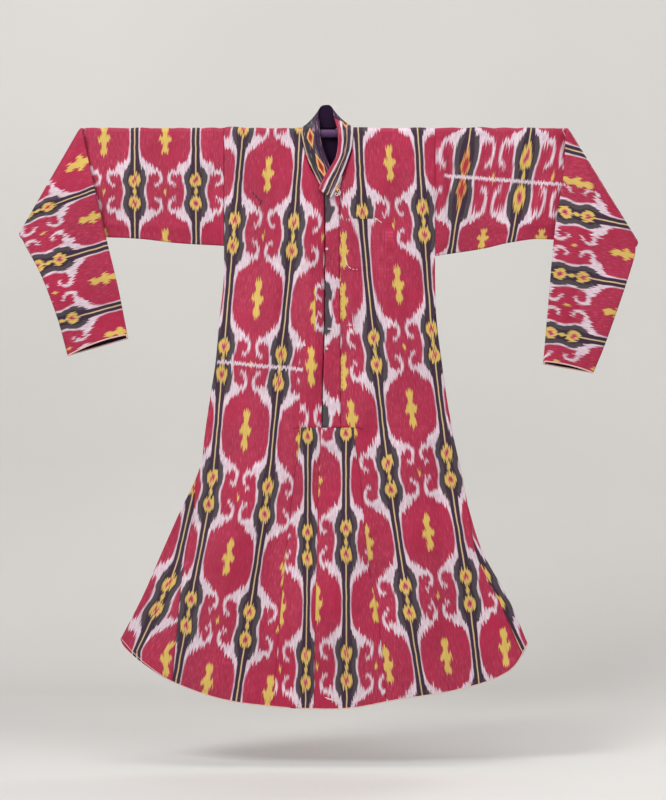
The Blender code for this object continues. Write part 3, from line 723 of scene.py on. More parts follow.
for word, operation in (
    ("move", "SUBTRACT"), ("stretch", "MULTIPLY"), ("shrink", "DIVIDE"), ("length", "LENGTH"),
    ("fold", "ABSOLUTE"),
):
    NODES[word] = ("ShaderNodeVectorMath", {"operation": operation})


def opaque(value):
    """A hex colour as a linear one with its alpha. Any other value stays as it is."""
    return (*srgb(value), 1.0) if isinstance(value, str) else value


def add(tree, word, *values, curve=(), ramp=(), **named):
    """Adds a node with its settings and links. Names with a capital are its inputs. Gives its output."""
    kind, settings = NODES[word]
    made = tree.nodes.new(kind)
    inputs = {name: value for name, value in named.items() if name[0].isupper()}
    for name, value in {**settings, **named}.items():
        if name not in inputs:
            setattr(made, name, value)
    sockets = [socket for socket in made.inputs if socket.enabled]
    by_name = [(made.inputs[name.replace("_", " ")], value) for name, value in inputs.items()]
    for socket, value in [*zip(sockets, values), *by_name]:
        if isinstance(value, bpy.types.NodeSocket):
            tree.links.new(value, socket)
        else:
            socket.default_value = opaque(value)
    for k, place in enumerate(curve):
        points = made.mapping.curves[0].points
        point = points[k] if k < 2 else points.new(*place)
        point.location = place
    if curve:
        made.mapping.update()
    for k, (place, colour) in enumerate(ramp):
        stops = made.color_ramp.elements
        stop = stops[k] if k < 2 else stops.new(place)
        stop.position, stop.color = place, opaque(colour)
    return next((socket for socket in made.outputs if socket.enabled), None)


def new_material(name):
    """An empty material, and the function that adds nodes to it."""
    made = bpy.data.materials.new(name)
    made.use_nodes = True
    made.node_tree.nodes.clear()
    return made, partial(add, made.node_tree)


def finish_material(node, colour, roughness, height=None, relief=0.0004, strength=0.3, **constants):
    """Adds the shader, with a bump if there is a height, and the output."""
    if height is not None:
        constants["Normal"] = node("bump", Height=height, Strength=strength, Distance=relief)
    node("output", Surface=node("shader", Base_Color=colour, Roughness=roughness, **constants))


def ends_first(stops):
    """The first two stops or points of a new ramp or curve are its ends."""
    return [stops[0], stops[-1], *stops[1:-1]]


# Half widths in mm along the column, from the middle of a gourd to the middle of the neck
GOURD = (
    (0, 19), (10, 20), (25, 24), (35, 24.5), (45, 22.5), (58, 19), (66, 13), (75, 9.5), (90, 8.5), (132, 8),
)
PALE_EDGE = (
    (0, 23.5), (15, 25), (30, 28), (42, 29), (50, 36), (58, 40), (66, 36), (74, 26), (84, 17), (100, 12),
    (132, 10.5),
)
# Round forms of the repeat: the corner that they are measured from, their middle and radii in mm
ROUNDS = {
    "hook": ("gourd", (43, 35), (12, 17)),
    "bead": ("gourd", (0, 0), (4, 7)),
    "rosette": ("gourd", (0, 28.5), (12.5, 16)),
    "dot": ("side", (0, 0), (3, 6)),
    "cross": ("cross", (0, 0), (13, 10)),
    "arm": ("cross", (0, 28), (7.5, 11)),
}
# What is drawn of them: the form, its share that is drawn, and the mm that keep its edge soft
ROUND_PARTS = {
    "bead": ("bead", 1.0, 4.0),
    "rosette": ("rosette", 1.0, 12.0),
    "pink": ("rosette", 0.45, 12.0),
    "red": ("rosette", 0.22, 12.0),
    "dot": ("dot", 1.0, 3.0),
    "cross": ("cross", 1.0, 10.0),
    "arm": ("arm", 1.0, 7.5),
}
DIAMOND_COLUMNS = 20  # columns that far along have long diamonds in place of rosettes
# The parts of the pattern, each over the last, with their dye and the columns that have them
DYED = (
    ("white", "white", "all"), ("hook", "white", "all"), ("gourd", "grey", "all"),
    ("heart", "aubergine", "all"), ("neck", "aubergine", "all"), ("line", "line", "all"),
    ("bead", "yellow", "plain"), ("rosette", "yellow", "plain"), ("pink", "pink", "plain"),
    ("red", "red", "plain"), ("dot", "yellow", "all"), ("cross", "yellow", "all"),
    ("arm", "yellow", "all"), ("stem", "yellow", "all"), ("orange", "orange", "varied"),
    ("ember", "ember", "varied"),
)


def ikat_adras():
    """Warp ikat of silk on cotton: the threads are dyed before weaving, so edges are feathered along them."""
    shade = colours()
    made, node = new_material("ikat_adras_silk_cotton")
    wide, tall = REPEAT
    place = node("uv", uv_map="Ikat")
    columns = node("split", place)
    repeats = columns.node.outputs["Y"]
    in_mm = node("stretch", place, (wide, tall, 0.0))
    # Threads in bundles of some 3 mm slip by 6 mm, and single ones by 3 mm, coarser than the real yarn
    bundles, yarns = (node("stretch", in_mm, size) for size in ((0.34, 0.006, 0.0), (0.85, 0.012, 0.0)))
    slips = [
        node("times", node("less", node("noise", thread, 1.0, 1.0), 0.5), reach / tall)
        for thread, reach in ((bundles, 34.0), (yarns, 20.0))
    ]
    slip = node("plus", *slips)
    wobble = node("noise", node("stretch", in_mm, (0.02, 0.03, 0.0)), 1.0)
    across = node("plus", columns, node("range", wobble, 0.0, 1.0, -0.012, 0.012))
    # Distances in mm from the column's middle and the gourd's, and from the repeat's side and end
    a = node("times", node("to and fro", across, 0.5), wide)
    b = node("times", node("to and fro", node("plus", repeats, slip), 0.5), tall)
    c, e = node("less", wide / 2, a), node("less", tall / 2, b)
    corners = {"gourd": node("join", a, b), "side": node("join", c, b), "cross": node("join", c, e)}
    far = {}
    for name, (corner, middle, radii) in ROUNDS.items():
        moved = node("move", corners[corner], (*middle, 0.0))
        far[name] = node("length", node("shrink", moved, (*radii, 1.0)))
    # How far inside each part a place is, in mm
    inside = {}
    for name, table in (("gourd", GOURD), ("white", PALE_EDGE)):
        curve = ends_first([(at / GOURD[-1][0], width / (wide / 2)) for at, width in table])
        width = node("curve", Value=node("over", b, tall / 2), curve=curve)
        inside[name] = node("less", node("times", width, wide / 2), a)
    inside["heart"] = node("less", inside["gourd"], 9.0)
    inside["neck"] = node("lesser", node("less", b, 62.0), inside["gourd"])
    inside["line"] = node("less", 1.15, a)
    # The hook is a ring, open towards the gourd
    stroke = node("range", b, 14.0, 50.0, 0.17, 0.30)
    ring = node("less", stroke, node("size", node("less", far["hook"], 1.0)))
    open_side = node("greater", node("less", a, 41.0), node("less", b, 44.0))
    inside["hook"] = node("lesser", node("times", ring, 12.0), open_side)
    for name, (source, edge, size) in ROUND_PARTS.items():
        inside[name] = node("times", node("less", edge, far[source]), size)
    inside["stem"] = node("lesser", node("less", 4.5, c), node("less", 30.0, e))
    # One column of the right sleeve has two long diamonds, outlined in orange, where the others have rosettes
    varied = node("range", columns, DIAMOND_COLUMNS - 1.0, DIAMOND_COLUMNS - 0.9)
    kept = {"plain": node("less", 1.0, varied), "varied": varied}
    slant = node("over", node("less", b, 19.0), 26.0)
    reach = node("plus", node("over", a, 11.0), node("size", slant))
    for name, edge in (("orange", 1.0), ("ember", 0.66)):
        inside[name] = node("times", node("less", edge, reach), 7.0)
    mottle = node("noise", node("stretch", in_mm, (0.42, 0.06, 0.0)), 1.0, 3.0, 0.7)
    colour = node("ramp", mottle, ramp=((0.34, "9E1A3C"), (0.80, "CE5A78"), (0.56, shade["crimson"])))
    here = node("place").node.outputs["Object"]
    deeper = node("range", node("noise", here, 7.0, 2.0), 0.46, 0.68, 0.0, 0.75)
    colour = node("blend", deeper, colour, "AE1240")
    # The undyed warp is stained with lilac and pink in places
    shade["white"] = node("ramp", mottle, ramp=((0.36, "D2B0C2"), (0.60, shade["white"])))
    shade.update(orange="DE9A52", ember="AE2A34")
    for name, tint, held in DYED:
        soft = 1.5 if tint == "white" else 0.9
        mask = node("range", inside[name], -soft, soft)
        if held in kept:
            mask = node("times", mask, kept[held])
        colour = node("blend", mask, colour, shade[tint])
    # Bare lines, where the warp was tied across and took no dye
    bare = node("split", node("uv", uv_map="Bare"))
    ragged = node("range", node("noise", node("stretch", in_mm, (0.7, 0.0, 0.0)), 1.0), 0.3, 0.7, 0.6, 6.0)
    away = node("size", node("plus", bare, node("times", slip, tall * 0.45)))
    ends = node("size", node("less", bare.node.outputs["Y"], 0.5))
    ends = node("times", node("less", 0.5, ends), 100.0)
    mask = node("range", node("lesser", node("less", ragged, away), ends), -0.6, 0.6)
    colour = node("blend", mask, colour, shade["white"])
    # Uneven dye: streaks along the threads and soft blotches
    streak = node("noise", yarns, 1.3, 2.0)
    blotch = node("range", node("noise", here, 9.0, 3.0), 0.3, 0.7, 0.86, 1.08)
    tint = node("times", node("range", streak, 0.3, 0.7, 0.80, 1.10), blotch)
    colour = node("tint", 1.0, colour, node("join", tint, tint, tint))
    # The weft's ribs, 1.8 mm apart, which is coarser than the real 0.5 mm
    ribs = node("sine", node("times", repeats, tall * math.tau / 1.8))
    height = node("plus", ribs, node("times", streak, 2.0))
    roughness = node("range", streak, 0.3, 0.7, 0.46, 0.62)
    finish_material(node, colour, roughness, height, strength=0.35, Sheen_Weight=0.06, Specular_IOR_Level=0.3)
    return made


def cotton_lining():
    """Glazed purple cotton: a flat even cloth with a little shine. Its purple is darker than the cloth's own,
    as painted shade for the inside of the neck.
    """
    made, node = new_material("cotton_lining_glazed_painted_shade")
    here = node("place").node.outputs["Object"]
    cloud = node("noise", here, 14.0, 4.0)
    colour = node("ramp", cloud, ramp=((0.35, colours()["lining"]), (0.70, "240A2E")))
    weave = node("noise", here, 700.0)
    finish_material(node, colour, 0.75, weave, relief=0.0003, Specular_IOR_Level=0.15)
    return made


DIAMOND_TINTS = ((1.0, "E0A860"), (0.62, "B8442C"), (0.40, "8E1A22"))  # from the outline in


def collar_ikat(side):
    """The same ikat, cut into a band along its columns: long stripes with a few outlined diamonds."""
    made, node = new_material(f"collar_ikat_{side}")
    place = node("uv", uv_map="Ikat")
    across = node("split", place)
    down = across.node.outputs["Y"]
    slip = node("noise", node("stretch", place, (26.0, 1.5, 0.0)), 1.0, 2.0)
    drift = node("range", node("noise", node("stretch", place, (2.0, 6.0, 0.0)), 1.0), 0.0, 1.0, -0.08, 0.08)
    colour = node("ramp", node("plus", across, drift), ramp=ends_first(COLLAR_STRIPES[side]))
    worn = node("noise", node("stretch", place, (15.0, 5.0, 0.0)), 1.0, 1.0)
    colour = node("blend", node("range", worn, 0.60, 0.68, 0.0, 0.6), colour, "B98E9C")
    slipped = node("plus", node("times", node("less", slip, 0.5), 0.10), down)
    here = node("join", across, slipped)
    for x, y in DIAMONDS[side]:
        away = node("fold", node("shrink", node("move", here, (x, y, 0.0)), (*DIAMOND_SIZE, 1.0)))
        parts = node("split", away)
        reach = node("plus", parts, parts.node.outputs["Y"])
        for edge, tint in DIAMOND_TINTS:
            colour = node("blend", node("range", node("less", edge, reach), -0.08, 0.08), colour, tint)
    tint = node("range", slip, 0.3, 0.7, 0.78, 1.12)
    colour = node("tint", 1.0, colour, node("join", tint, tint, tint))
    finish_material(node, colour, 0.52, slip, Sheen_Weight=0.06, Specular_IOR_Level=0.3)
    return made


def plain_thread(name, text, scale, roughness):
    """Cotton yarn, tape or the rod's sleeve: matt, with a fine uneven twist."""
    made, node = new_material(name)
    twist = node("noise", node("place").node.outputs["Object"], scale, 2.0)
    high = (*(min(1.0, c * 1.35) for c in srgb(text)), 1.0)
    colour = node("ramp", twist, ramp=((0.35, text), (0.65, high)))
    finish_material(node, colour, roughness, twist, strength=0.5, Sheen_Weight=0.2)
    return made


def polished_shell():
    """Shell of the buttons: hard and glossy, with a small bright light and pale clouds of a few mm."""
    made, node = new_material("polished_shell")
    cloud = node("noise", node("place").node.outputs["Object"], 260.0, 3.0)
    pale = node("ramp", cloud, ramp=((0.3, "AA9C9B"), (0.7, "CFC3C1")))
    finish_material(node, pale, 0.2, cloud, relief=0.00005, strength=0.2, Coat_Weight=0.5, Coat_Roughness=0.1)
    return made


def painted_wall():
    """Matt wall paint, a little uneven: a pale ground that doesn't shine."""
    made, node = new_material("painted_studio_wall")
    cloud = node("noise", node("place").node.outputs["Object"], 1.2, 3.0)
    finish_material(node, node("ramp", cloud, ramp=((0.3, "D9D7D3"), (0.7, "DEDCD8"))), 0.9)
    return made


LOOKS = {
    "ikat": (ikat_adras,),
    "lining": (cotton_lining,),
    "collar_left": (collar_ikat, "left"),
    "collar_right": (collar_ikat, "right"),
    "shell": (polished_shell,),
    "wall": (painted_wall,),
    # name, colour, scale of the twist, roughness
    "tape": (plain_thread, "cotton_edging_tape", "C9A59A", 900.0, 0.7),
    "thread": (plain_thread, "cotton_thread_undyed", "D8CFCB", 1400.0, 0.75),
    "dark": (plain_thread, "cotton_cord_dark", "1E1626", 1200.0, 0.6),
    "crimson": (plain_thread, "cotton_thread_crimson", "8E1E36", 1400.0, 0.7),
    "gold": (plain_thread, "silk_thread_yellow", "C99A3C", 1200.0, 0.5),
    "rod": (plain_thread, "rod_cotton_sleeve", "42184C", 500.0, 0.55),
}


@lru_cache(maxsize=None)
def look(name):
    """Each material is made once."""
    maker, *values = LOOKS[name]
    return maker(*values)


# Modelling
def select_only(*objects):
    """Deselects all, then selects these and makes the last one active."""
    bpy.ops.object.select_all(action="DESELECT")
    for chosen in objects:
        chosen.select_set(True)
        bpy.context.view_layer.objects.active = chosen


def settle(piece, name):
    """Names a piece and puts its place into its mesh."""
    piece.name = name
    select_only(piece)
    bpy.ops.object.transform_apply(location=True, rotation=True, scale=True)
    return piece


def paint(piece, *names):
    piece.data.materials.clear()
    for name in names:
        piece.data.materials.append(look(name))


def hand_over(piece, slot, *nodes):
    """The piece rides on the robe and stands for its nodes, whose parts it hides. The slot is not used."""
    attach(piece, "root")
    if nodes:
        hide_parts(*nodes)


def shares(span):
    """Shares of a span from 0 to 1, a mesh row apart and closer together near both ends."""
    inner = [d for d in NEAR_EDGE if d < span / 4]
    first = inner[-1] if inner else 0.0
    count = max(1, round((span - 2 * first) / sizes().mesh))
    middle = [first + (span - 2 * first) * k / count for k in range(count + 1)]
    start, end = [0.0, *inner[:-1]], [*(span - d for d in reversed(inner[:-1])), span]
    return [d / span for d in (start + middle + end if inner else middle)]


def cloth(name, rows, outward, outer):
    """A sheet of cloth through rows of (place, charts), or None where it is cut away, with its lining.

    The charts are the number of the one that a point prefers, its place in each, and its place by a bare
    line.
    """
    mesh = bpy.data.meshes.new(name)
    bm = bmesh.new()
    uv_layer = bm.loops.layers.uv.new("Ikat")
    bare_layer = bm.loops.layers.uv.new("Bare")
    placed = [[entry and (bm.verts.new(entry[0]), entry[1]) for entry in row] for row in rows]
    for row, below in zip(placed, placed[1:]):
        for corners in zip(row, below, below[1:], row[1:]):
            if all(corners):
                face = bm.faces.new([corner[0] for corner in corners])
                chart = min(corner[1][0] for corner in corners)
                for loop, corner in zip(face.loops, corners):
                    loop[uv_layer].uv = corner[1][1][chart]
                    loop[bare_layer].uv = corner[1][2]
    bmesh.ops.delete(bm, geom=[v for v in bm.verts if not v.link_faces], context="VERTS")
    bmesh.ops.remove_doubles(bm, verts=bm.verts, dist=0.00001)
    bm.normal_update()
    facing = sum(face.normal.dot(outward(face.calc_center_median())) * face.calc_area() for face in bm.faces)
    if facing < 0:
        bmesh.ops.reverse_faces(bm, faces=bm.faces)
    bm.to_mesh(mesh)
    bm.free()
    piece = bpy.data.objects.new(name, mesh)
    bpy.context.scene.collection.objects.link(piece)
    paint(piece, outer, "lining")
    select_only(piece)
    bpy.ops.object.shade_smooth()
    solid = piece.modifiers.new("Lining", "SOLIDIFY")
    solid.thickness = sizes().wall
    solid.offset = 0.0
    solid.use_even_offset = True
    solid.thickness_clamp = 1.0
    solid.material_offset = 1
    bpy.ops.object.modifier_apply(modifier="Lining")
    return piece


def sew(name, rows, nodes, flat, outward=None, face="front", rests_on="rod", outer="ikat", slot="ikat"):
    """Makes a piece of cloth and hides the parts that it stands for. The flat size that it is cut to is not
    used.
    """
    piece = cloth(name, rows, outward or (lambda _: WAYS[face]), outer)
    hand_over(piece, slot, *nodes)


def tube(name, paths, radius, finish, slot, closed=False):
    """Threads or tapes along paths, made from bevelled curves."""
    data = bpy.data.curves.new(name, "CURVE")
    data.dimensions = "3D"
    data.bevel_depth = radius
    data.bevel_resolution = 1
    data.use_fill_caps = True
    for path in paths:
        spline = data.splines.new("POLY")
        spline.points.add(len(path) - 1)
        for point, place in zip(spline.points, path):
            point.co = (*place, 1.0)
        spline.use_cyclic_u = closed
    piece = bpy.data.objects.new(name, data)
    bpy.context.scene.collection.objects.link(piece)
    select_only(piece)
    bpy.ops.object.convert(target="MESH")
    piece = bpy.context.object
    paint(piece, finish)
    bpy.ops.object.shade_smooth()
    hand_over(piece, slot)


# Body cloth
def fine_depth(face, x, z):
    """The extra height of the fine folds and tucks."""
    extra = 0.0
    for x_top, z_top, x_foot, z_foot, width, rise in FINE_FOLDS[face]:
        down = (z_top - z) / (z_top - z_foot)
        away = x - mix(x_top, x_foot, down)
        if 0 < down < 1 and abs(away) < 3 * width:
            ends = ease(down / FOLD_ENDS / 3) * (ease((1 - down) / FOLD_ENDS / 3) if z_foot > -1.1 else 1)
            extra += rise * bell(away, width) * ends
    extra += WRINKLE * noise.noise(Vector((x * 34, z * 11, 1.0 if face == "front" else 7.0)))
    extra += WRINKLE * 0.6 * noise.noise(Vector((x * 60 + z * 25, z * 45, 3.0)))
    for tuck_z, first, last, rise in TUCKS if face == "front" else ():
        above = z - tuck_z
        if 0 <= above < TUCK_FALL and first < x < last:
            across = (x - first) / (last - first)
            extra += rise * (1 - above / TUCK_FALL) ** 2 * math.sin(math.pi * across) ** 0.5
    return extra


def lift_top(place):
    """The top edge rides a little unevenly on the rod."""
    if place.z > -0.02:
        wave = abs(noise.noise(Vector((place.x * 22, 0.5, 2.0))))
        place.z += TOP_WAVE * wave * ease((place.z + 0.02) / 0.02)


def furrow(*distances):
    """How far the cloth pulls in near its sewn edges."""
    return -sizes().roll * max(bell(d, ROLL_WIDTH) for d in distances)


def dressed(face, place, *ends):
    """A point of the plain wall with the fine folds on it, and the furrows at its sewn edges."""
    place.y += OUT[face] * ease(-place.z / 0.05) * (fine_depth(face, place.x, place.z) + furrow(*ends))
    lift_top(place)
    return place


def cell(name, x, z):
    """The place in the pattern: columns counted from the first line, and repeats down it."""
    first, second = COLUMNS[name]
    share = (x - read(first, z, 1)) / (read(second, z, 1) - read(first, z, 1))
    return share, mix(read(first, z, 2), read(second, z, 2), share)


def one_chart(place):
    return 0, (place,), NOT_BARE


def body_rows():
    """Rows from the shoulder to the cross seam, and on to the hem."""
    return [k / 8 - 1 for k in range(8)] + shares(-CROSS_SEAM_Z), [1 + share for share in shares(SKIRT)]


def bare_place(name, x, z):
    """Distance in mm from a piece's bare line, and the share along it."""
    start, end = (Vector(place) for place in BARE_LINES[name])
    run, gap = end - start, Vector((x, z)) - start
    return run.normalized().cross(gap) * 1000, gap.dot(run) / run.length_squared


def front_charts(side, x, z):
    """The charts of a front: its columns, then the strip by the slit on the left, or on the right the cloth
    below the tuck and the crosses beside the band."""
    plain = cell(f"front_{side}", x, z)
    if side == "left":
        edge = mix(*STRIP_X, ease((STRIP_Z - z) / 0.06))
        inside = edge < x and CROSS_SEAM_Z < z < STRIP_TOP
        strip = (STRIP_START + x * 1000 / REPEAT[0], read(COLUMNS["placket_band"][0], z, 2))
        return int(inside), (plain, strip), bare_place("front_left", x, z)
    first_z, middle_z, last_z = TUCK_CHART["heights"]
    first, middle, last = TUCK_CHART["edges"]
    tucked = last_z < z <= first_z and first < x < (last if z > middle_z else middle)
    low = read(COLUMNS["front_right"][0], last_z, 2)
    moved = mix(TUCK_CHART["repeat"], low, (first_z - z) / (first_z - last_z))
    tucked_place = (min(plain[0], TUCK_CHART["column"]), moved)
    cross_x, cross_z = min(EDGE_CROSSES, key=lambda cross: abs(cross[1] - z))
    crossed = x < EDGE_CHART[0] and abs(z - cross_z) < EDGE_CHART[1]
    cross_place = (0.5 + (x - cross_x) * 1000 / REPEAT[0], 0.5 + (cross_z - z) * 1000 / REPEAT[1])
    return (2 if crossed else int(tucked)), (plain, tucked_place, cross_place), NOT_BARE


def front_corner(side, x, v, hem_z, inner=None, seam=None, outer=None):
    """A corner of a front's mesh with its charts, in furrows along the edges that are near it."""
    place = body_point("front", x, v, hem_z)
    if outer is not None:
        ends = [abs(x - outer)] + ([] if seam is None else [abs(x - seam)])
    else:
        ends = [abs(x - inner) + SLIT_EASE, abs(place.z - CROSS_SEAM_Z)]
    if side == "left" and v > 0:
        rise, width, foot, run = SLIT_ROLL
        roll = rise * bell(x - read(LEFT_INNER, place.z), width)
        place.y += roll * ease((place.z + foot) / run) * ease((-run - place.z) / (run / 2))
    return dressed("front", place, *ends), front_charts(side, x, place.z)


def front_cloth(side):
    """A front, cut away below the cross seam for the inset."""
    edge = SIGN[side] * SEAM / 2
    inner_table = LEFT_INNER if side == "left" else RIGHT_INNER
    column = 1 if side == "left" else 3
    seam_foot, seam_hem = foot_of(INSET, column)
    upper, lower = body_rows()
    rows = []
    for number, v in enumerate(upper + lower):
        below = number >= len(upper)
        outer, _, outer_foot = outer_edge(side, "front", v)
        outer -= edge
        seam = read(INSET, row_z(v, seam_hem), column) + edge
        row = []
        for share in shares(SPANS["front"]):
            hem_z = read(HEM, mix(outer_foot, seam_foot, share))
            x = mix(outer, seam, share)
            row.append(front_corner(side, x, v, hem_z, outer=outer, seam=seam if below else None))
        lifted = v - (SEAM / 2 / -CROSS_SEAM_Z if number == len(upper) - 1 else 0)
        inner = read(inner_table, row_z(lifted, 0)) + edge
        for share in shares(SPANS["slit"])[1:]:
            x = mix(seam, inner, share)
            row.append(None if below else front_corner(side, x, lifted, CROSS_SEAM_Z, inner=inner))
        rows.append(row)
    sew(f"front_cloth_{side}", rows, [f"front_{side}"], FRONT_FLAT[side])


def inset_cloth(side):
    """Half of the lower centre inset, from the cross seam to the hem."""
    names = (1, 2) if side == "left" else (2, 3)
    (first_foot, first_hem), (second_foot, second_hem) = (foot_of(INSET, name) for name in names)
    rows = []
    for number, v in enumerate(body_rows()[1]):
        v += SEAM / 2 / SKIRT if number == 0 else 0
        first = read(INSET, row_z(v, first_hem), names[0]) + SEAM / 2
        second = read(INSET, row_z(v, second_hem), names[1]) - SEAM / 2
        row = []
        for share in shares(SPANS["inset"]):
            x = mix(first, second, share)
            place = body_point("front", x, v, read(HEM, mix(first_foot, second_foot, share)))
            place = dressed("front", place, x - first, second - x, abs(place.z - CROSS_SEAM_Z))
            row.append((place, one_chart(cell(f"inset_{side}", x, place.z))))
        rows.append(row)
    sew(f"inset_cloth_{side}", rows, [f"inset_{side}"], INSET_FLAT[side])


def placket_cloth():
    """The band along the slit, pointed at its top."""
    rows = []
    for number in range(111):
        seam_z = PLACKET_TOP[1] + (CROSS_SEAM_Z + SEAM / 2 - PLACKET_TOP[1]) * number / 110
        seam_x = read(RIGHT_INNER, seam_z) - SEAM / 2
        free_z = seam_z + (PLACKET_TOP[0] - PLACKET_TOP[1]) * max(0.0, 1 - number / 9)
        free_x = read(LEFT_INNER, min(free_z, -0.13)) + PLACKET_X
        row = []
        for k in range(9):
            x, z = mix(free_x, seam_x, k / 8), mix(free_z, seam_z, k / 8)
            proud = PLACKET_PROUD * (1 - k / 8) * ease((z - CROSS_SEAM_Z) / 0.10)
            y = -depth("front", x, z) - proud - furrow(seam_x - x + 0.001, 1.0) * 0.5
            row.append((Vector((x, y, z)), one_chart(cell("placket_band", x, z))))
        rows.append(row)
    sew("placket_cloth", rows, ["placket_band"], (0.036, 0.54), rests_on="front_cloth_right")


def gore_cell(side, x, z):
    """The place in the pattern of a gore, whose threads slant more and more towards the hem."""
    line = GORE_COLUMNS[side]
    slant = math.atan2(read(line, z + 0.02) - read(line, z - 0.02), 0.04)
    across = (x - read(line, z)) * math.cos(slant)
    return across * 1000 / REPEAT[0], (GORE_MIDDLE_Z[side] - z) * 1000 / REPEAT[1]


def gore_cloth(side, face):
    """Half of a side gore, a triangle from its top to the hem."""
    sign, top = SIGN[side], GORE_TOP[side]
    foot = outer_edge(side, face, 2)[2]
    foot_z = read(HEM, foot)
    start = (top - CROSS_SEAM_Z) / (row_z(2, foot_z) - CROSS_SEAM_Z) + 1
    rows = []
    for v in [start + 0.004] + [v for v in body_rows()[1] if v > start + 0.012]:
        seam_x, seam_z, _ = outer_edge(side, face, v)
        down = max(0.0, (seam_z - top) / (foot_z - top))
        first = seam_x + sign * SEAM / 2
        row = []
        for k in range(17):
            share = ease(k / 16) * 0.5 + k / 32
            z = seam_z + (read(HEM, mix(foot, side_x(side, CORNER_Z[side]), share)) - foot_z) * down
            x = mix(first, side_x(side, z) + sign * SEAM, share)
            place = Vector((x, OUT[face] * depth(face, x, z), z))
            row.append((dressed(face, place, abs(x - first)), one_chart(gore_cell(side, x, z))))
        rows.append(row)
    rests_on = f"front_cloth_{side}" if face == "front" else "back_cloth"
    name, nodes = f"gore_cloth_{side}_{face}", [f"gore_{side}_{face}"]
    sew(name, rows, nodes, GORE_FLAT[side, face], face=face, rests_on=rests_on)


def back_cloth():
    """The back in one panel, from armhole to armhole."""
    upper, lower = body_rows()
    rows = []
    for v in upper + lower[1:]:
        first, _, first_foot = outer_edge("left", "back", v)
        second, _, second_foot = outer_edge("right", "back", v)
        row = []
        for share in shares(SPANS["back"]):
            x = mix(first + SEAM / 2, second - SEAM / 2, share)
            place = body_point("back", x, v, read(HEM, mix(first_foot, second_foot, share)))
            place = dressed("back", place, x - first, second - x)
            row.append((place, one_chart(cell("back", x, place.z))))
        rows.append(row)
    sew("back_cloth", rows, ["back"], (0.66, 1.26), face="back")


# Sleeve cloth
def upper_cell(side, x, z):
    """Upright columns. By the armhole the next crosses are missing, and the pattern stays within a gourd."""
    first, second, first_lean, second_lean = SLEEVE_COLUMNS_AT[side]
    first, second = first + first_lean * z, second + second_lean * z
    across = (x - first) / abs(second - first)
    repeat = read(SLEEVE_HEIGHTS[side], z)
    if across < SLEEVE_LIMIT[side] + 0.075:
        return max(across, SLEEVE_LIMIT[side]), max(-0.30, min(0.30, repeat))
    return across, repeat


def lower_cell(side, x, z):
    """Columns run out from the inner edge, each at its own slant."""
    crosses, slants = SLEEVE_CROSSES[side], SLEEVE_THREADS[side]
    table = [(k, *place, math.radians(slant)) for k, (place, slant) in enumerate(zip(crosses, slants))]
    last = len(table) - 1

    def spot(at):
        return Vector((read(table, at, 1), read(table, at, 2)))

    at = 1.0
    for _ in range(12):
        at = min(last, max(-1.0, at))
        known = min(last - 0.001, max(0.0, at))
        low, high = max(0, known - 0.5), min(last, known + 0.5)
        slant = read(table, known, 3)
        across = Vector((math.sin(slant), -math.cos(slant)))
        step = (spot(high) - spot(low)) / (high - low)
        gap = Vector((x, z)) - spot(known) - step * (at - known)
        turn = step.x * across.y - step.y * across.x
        at += (gap.x * across.y - gap.y * across.x) / turn * 0.8
    return at + 0.5, -0.5 + gap.dot(across) / LOWER_REPEAT


def sleeve_relief(part, outside, x, z):
    """Soft folds of a sleeve, as a height out from its wall."""

    def folds(name):
        return sum(rise * bell(a * x + b * z + c, width) for rise, width, a, b, c in SLEEVE_FOLDS[name])

    if part == "upper" and not outside:
        # The cloth is pulled at the armhole, droops by the bend, and has one long fold over its underside
        relief = folds("armhole") * ease((-0.01 - z) / 0.05)
        relief += folds("bend") * ease((-0.07 - z) / 0.06) * ease((z + 0.235) / 0.05)
        return relief + folds("underside") * ease((x - 0.25) / 0.05)
    if part == "lower" and outside:
        return folds("lower") * ease((-z - 0.05) / 0.08)
    return 0.0


def lens_rise(side, k):
    """How far the front of a cuff is drawn up, so that its lining shows."""
    share = max(0.0, (k - ARC_COLUMNS / 2) / (SLEEVE_COLUMNS - ARC_COLUMNS / 2))
    return CUFF_LENS[side] * math.sin(math.pi * share) ** 0.8


def sleeve_charts(side, part, outside, place, x, z, row):
    """The charts of a sleeve: its columns, the same half a repeat on, and the same with long diamonds."""
    uv = Vector((upper_cell if part == "upper" else lower_cell)(side, x, z))
    share = ease((row - 0.84) / 0.16) if outside else ease((row - 1) / 0.5)
    if part == "upper" and share:
        uv = uv.lerp(Vector(lower_cell(side, x, z)), share)
    uv.x *= SIGN[side]
    chart = int(part == "lower" and abs(uv.x) < LOWER_SHIFT[side])
    bare = NOT_BARE
    if side == "right" and part == "upper":
        chart = 2 if uv.x < 0.5 else 0
        bare = NOT_BARE if outside else bare_place("sleeve_right", place.x, z)
    return chart, (uv, (uv.x, uv.y + 0.5), (uv.x + DIAMOND_COLUMNS, uv.y)), bare


def sleeve_corner(side, part, outside, k, row):
    """A corner of a sleeve's mesh with its folds and charts."""
    place = sleeve_point(side, part, outside, k, row)
    x, z = abs(place.x), place.z
    if row <= 1:
        towards = (-1 if part == "lower" else 1) * (1 if outside else -1)
        ends = min(1.0, k / ARC_COLUMNS) * min(1.0, (SLEEVE_COLUMNS - k) / 0.5)
        uneven = noise.noise(Vector((x * 30, z * 30, 5.0))) + 0.6 * noise.noise(Vector((x * 55, z * 40, 9.0)))
        place.y += towards * ends * (sleeve_relief(part, outside, x, z) + WRINKLE * 0.8 * uneven)
        if part == "lower" and outside and row < LENS_RUN:
            place.z += (1 - row / LENS_RUN) * lens_rise(side, k)
        if part == "upper":
            lift_top(place)
    return place, sleeve_charts(side, part, outside, place, x, z, row)


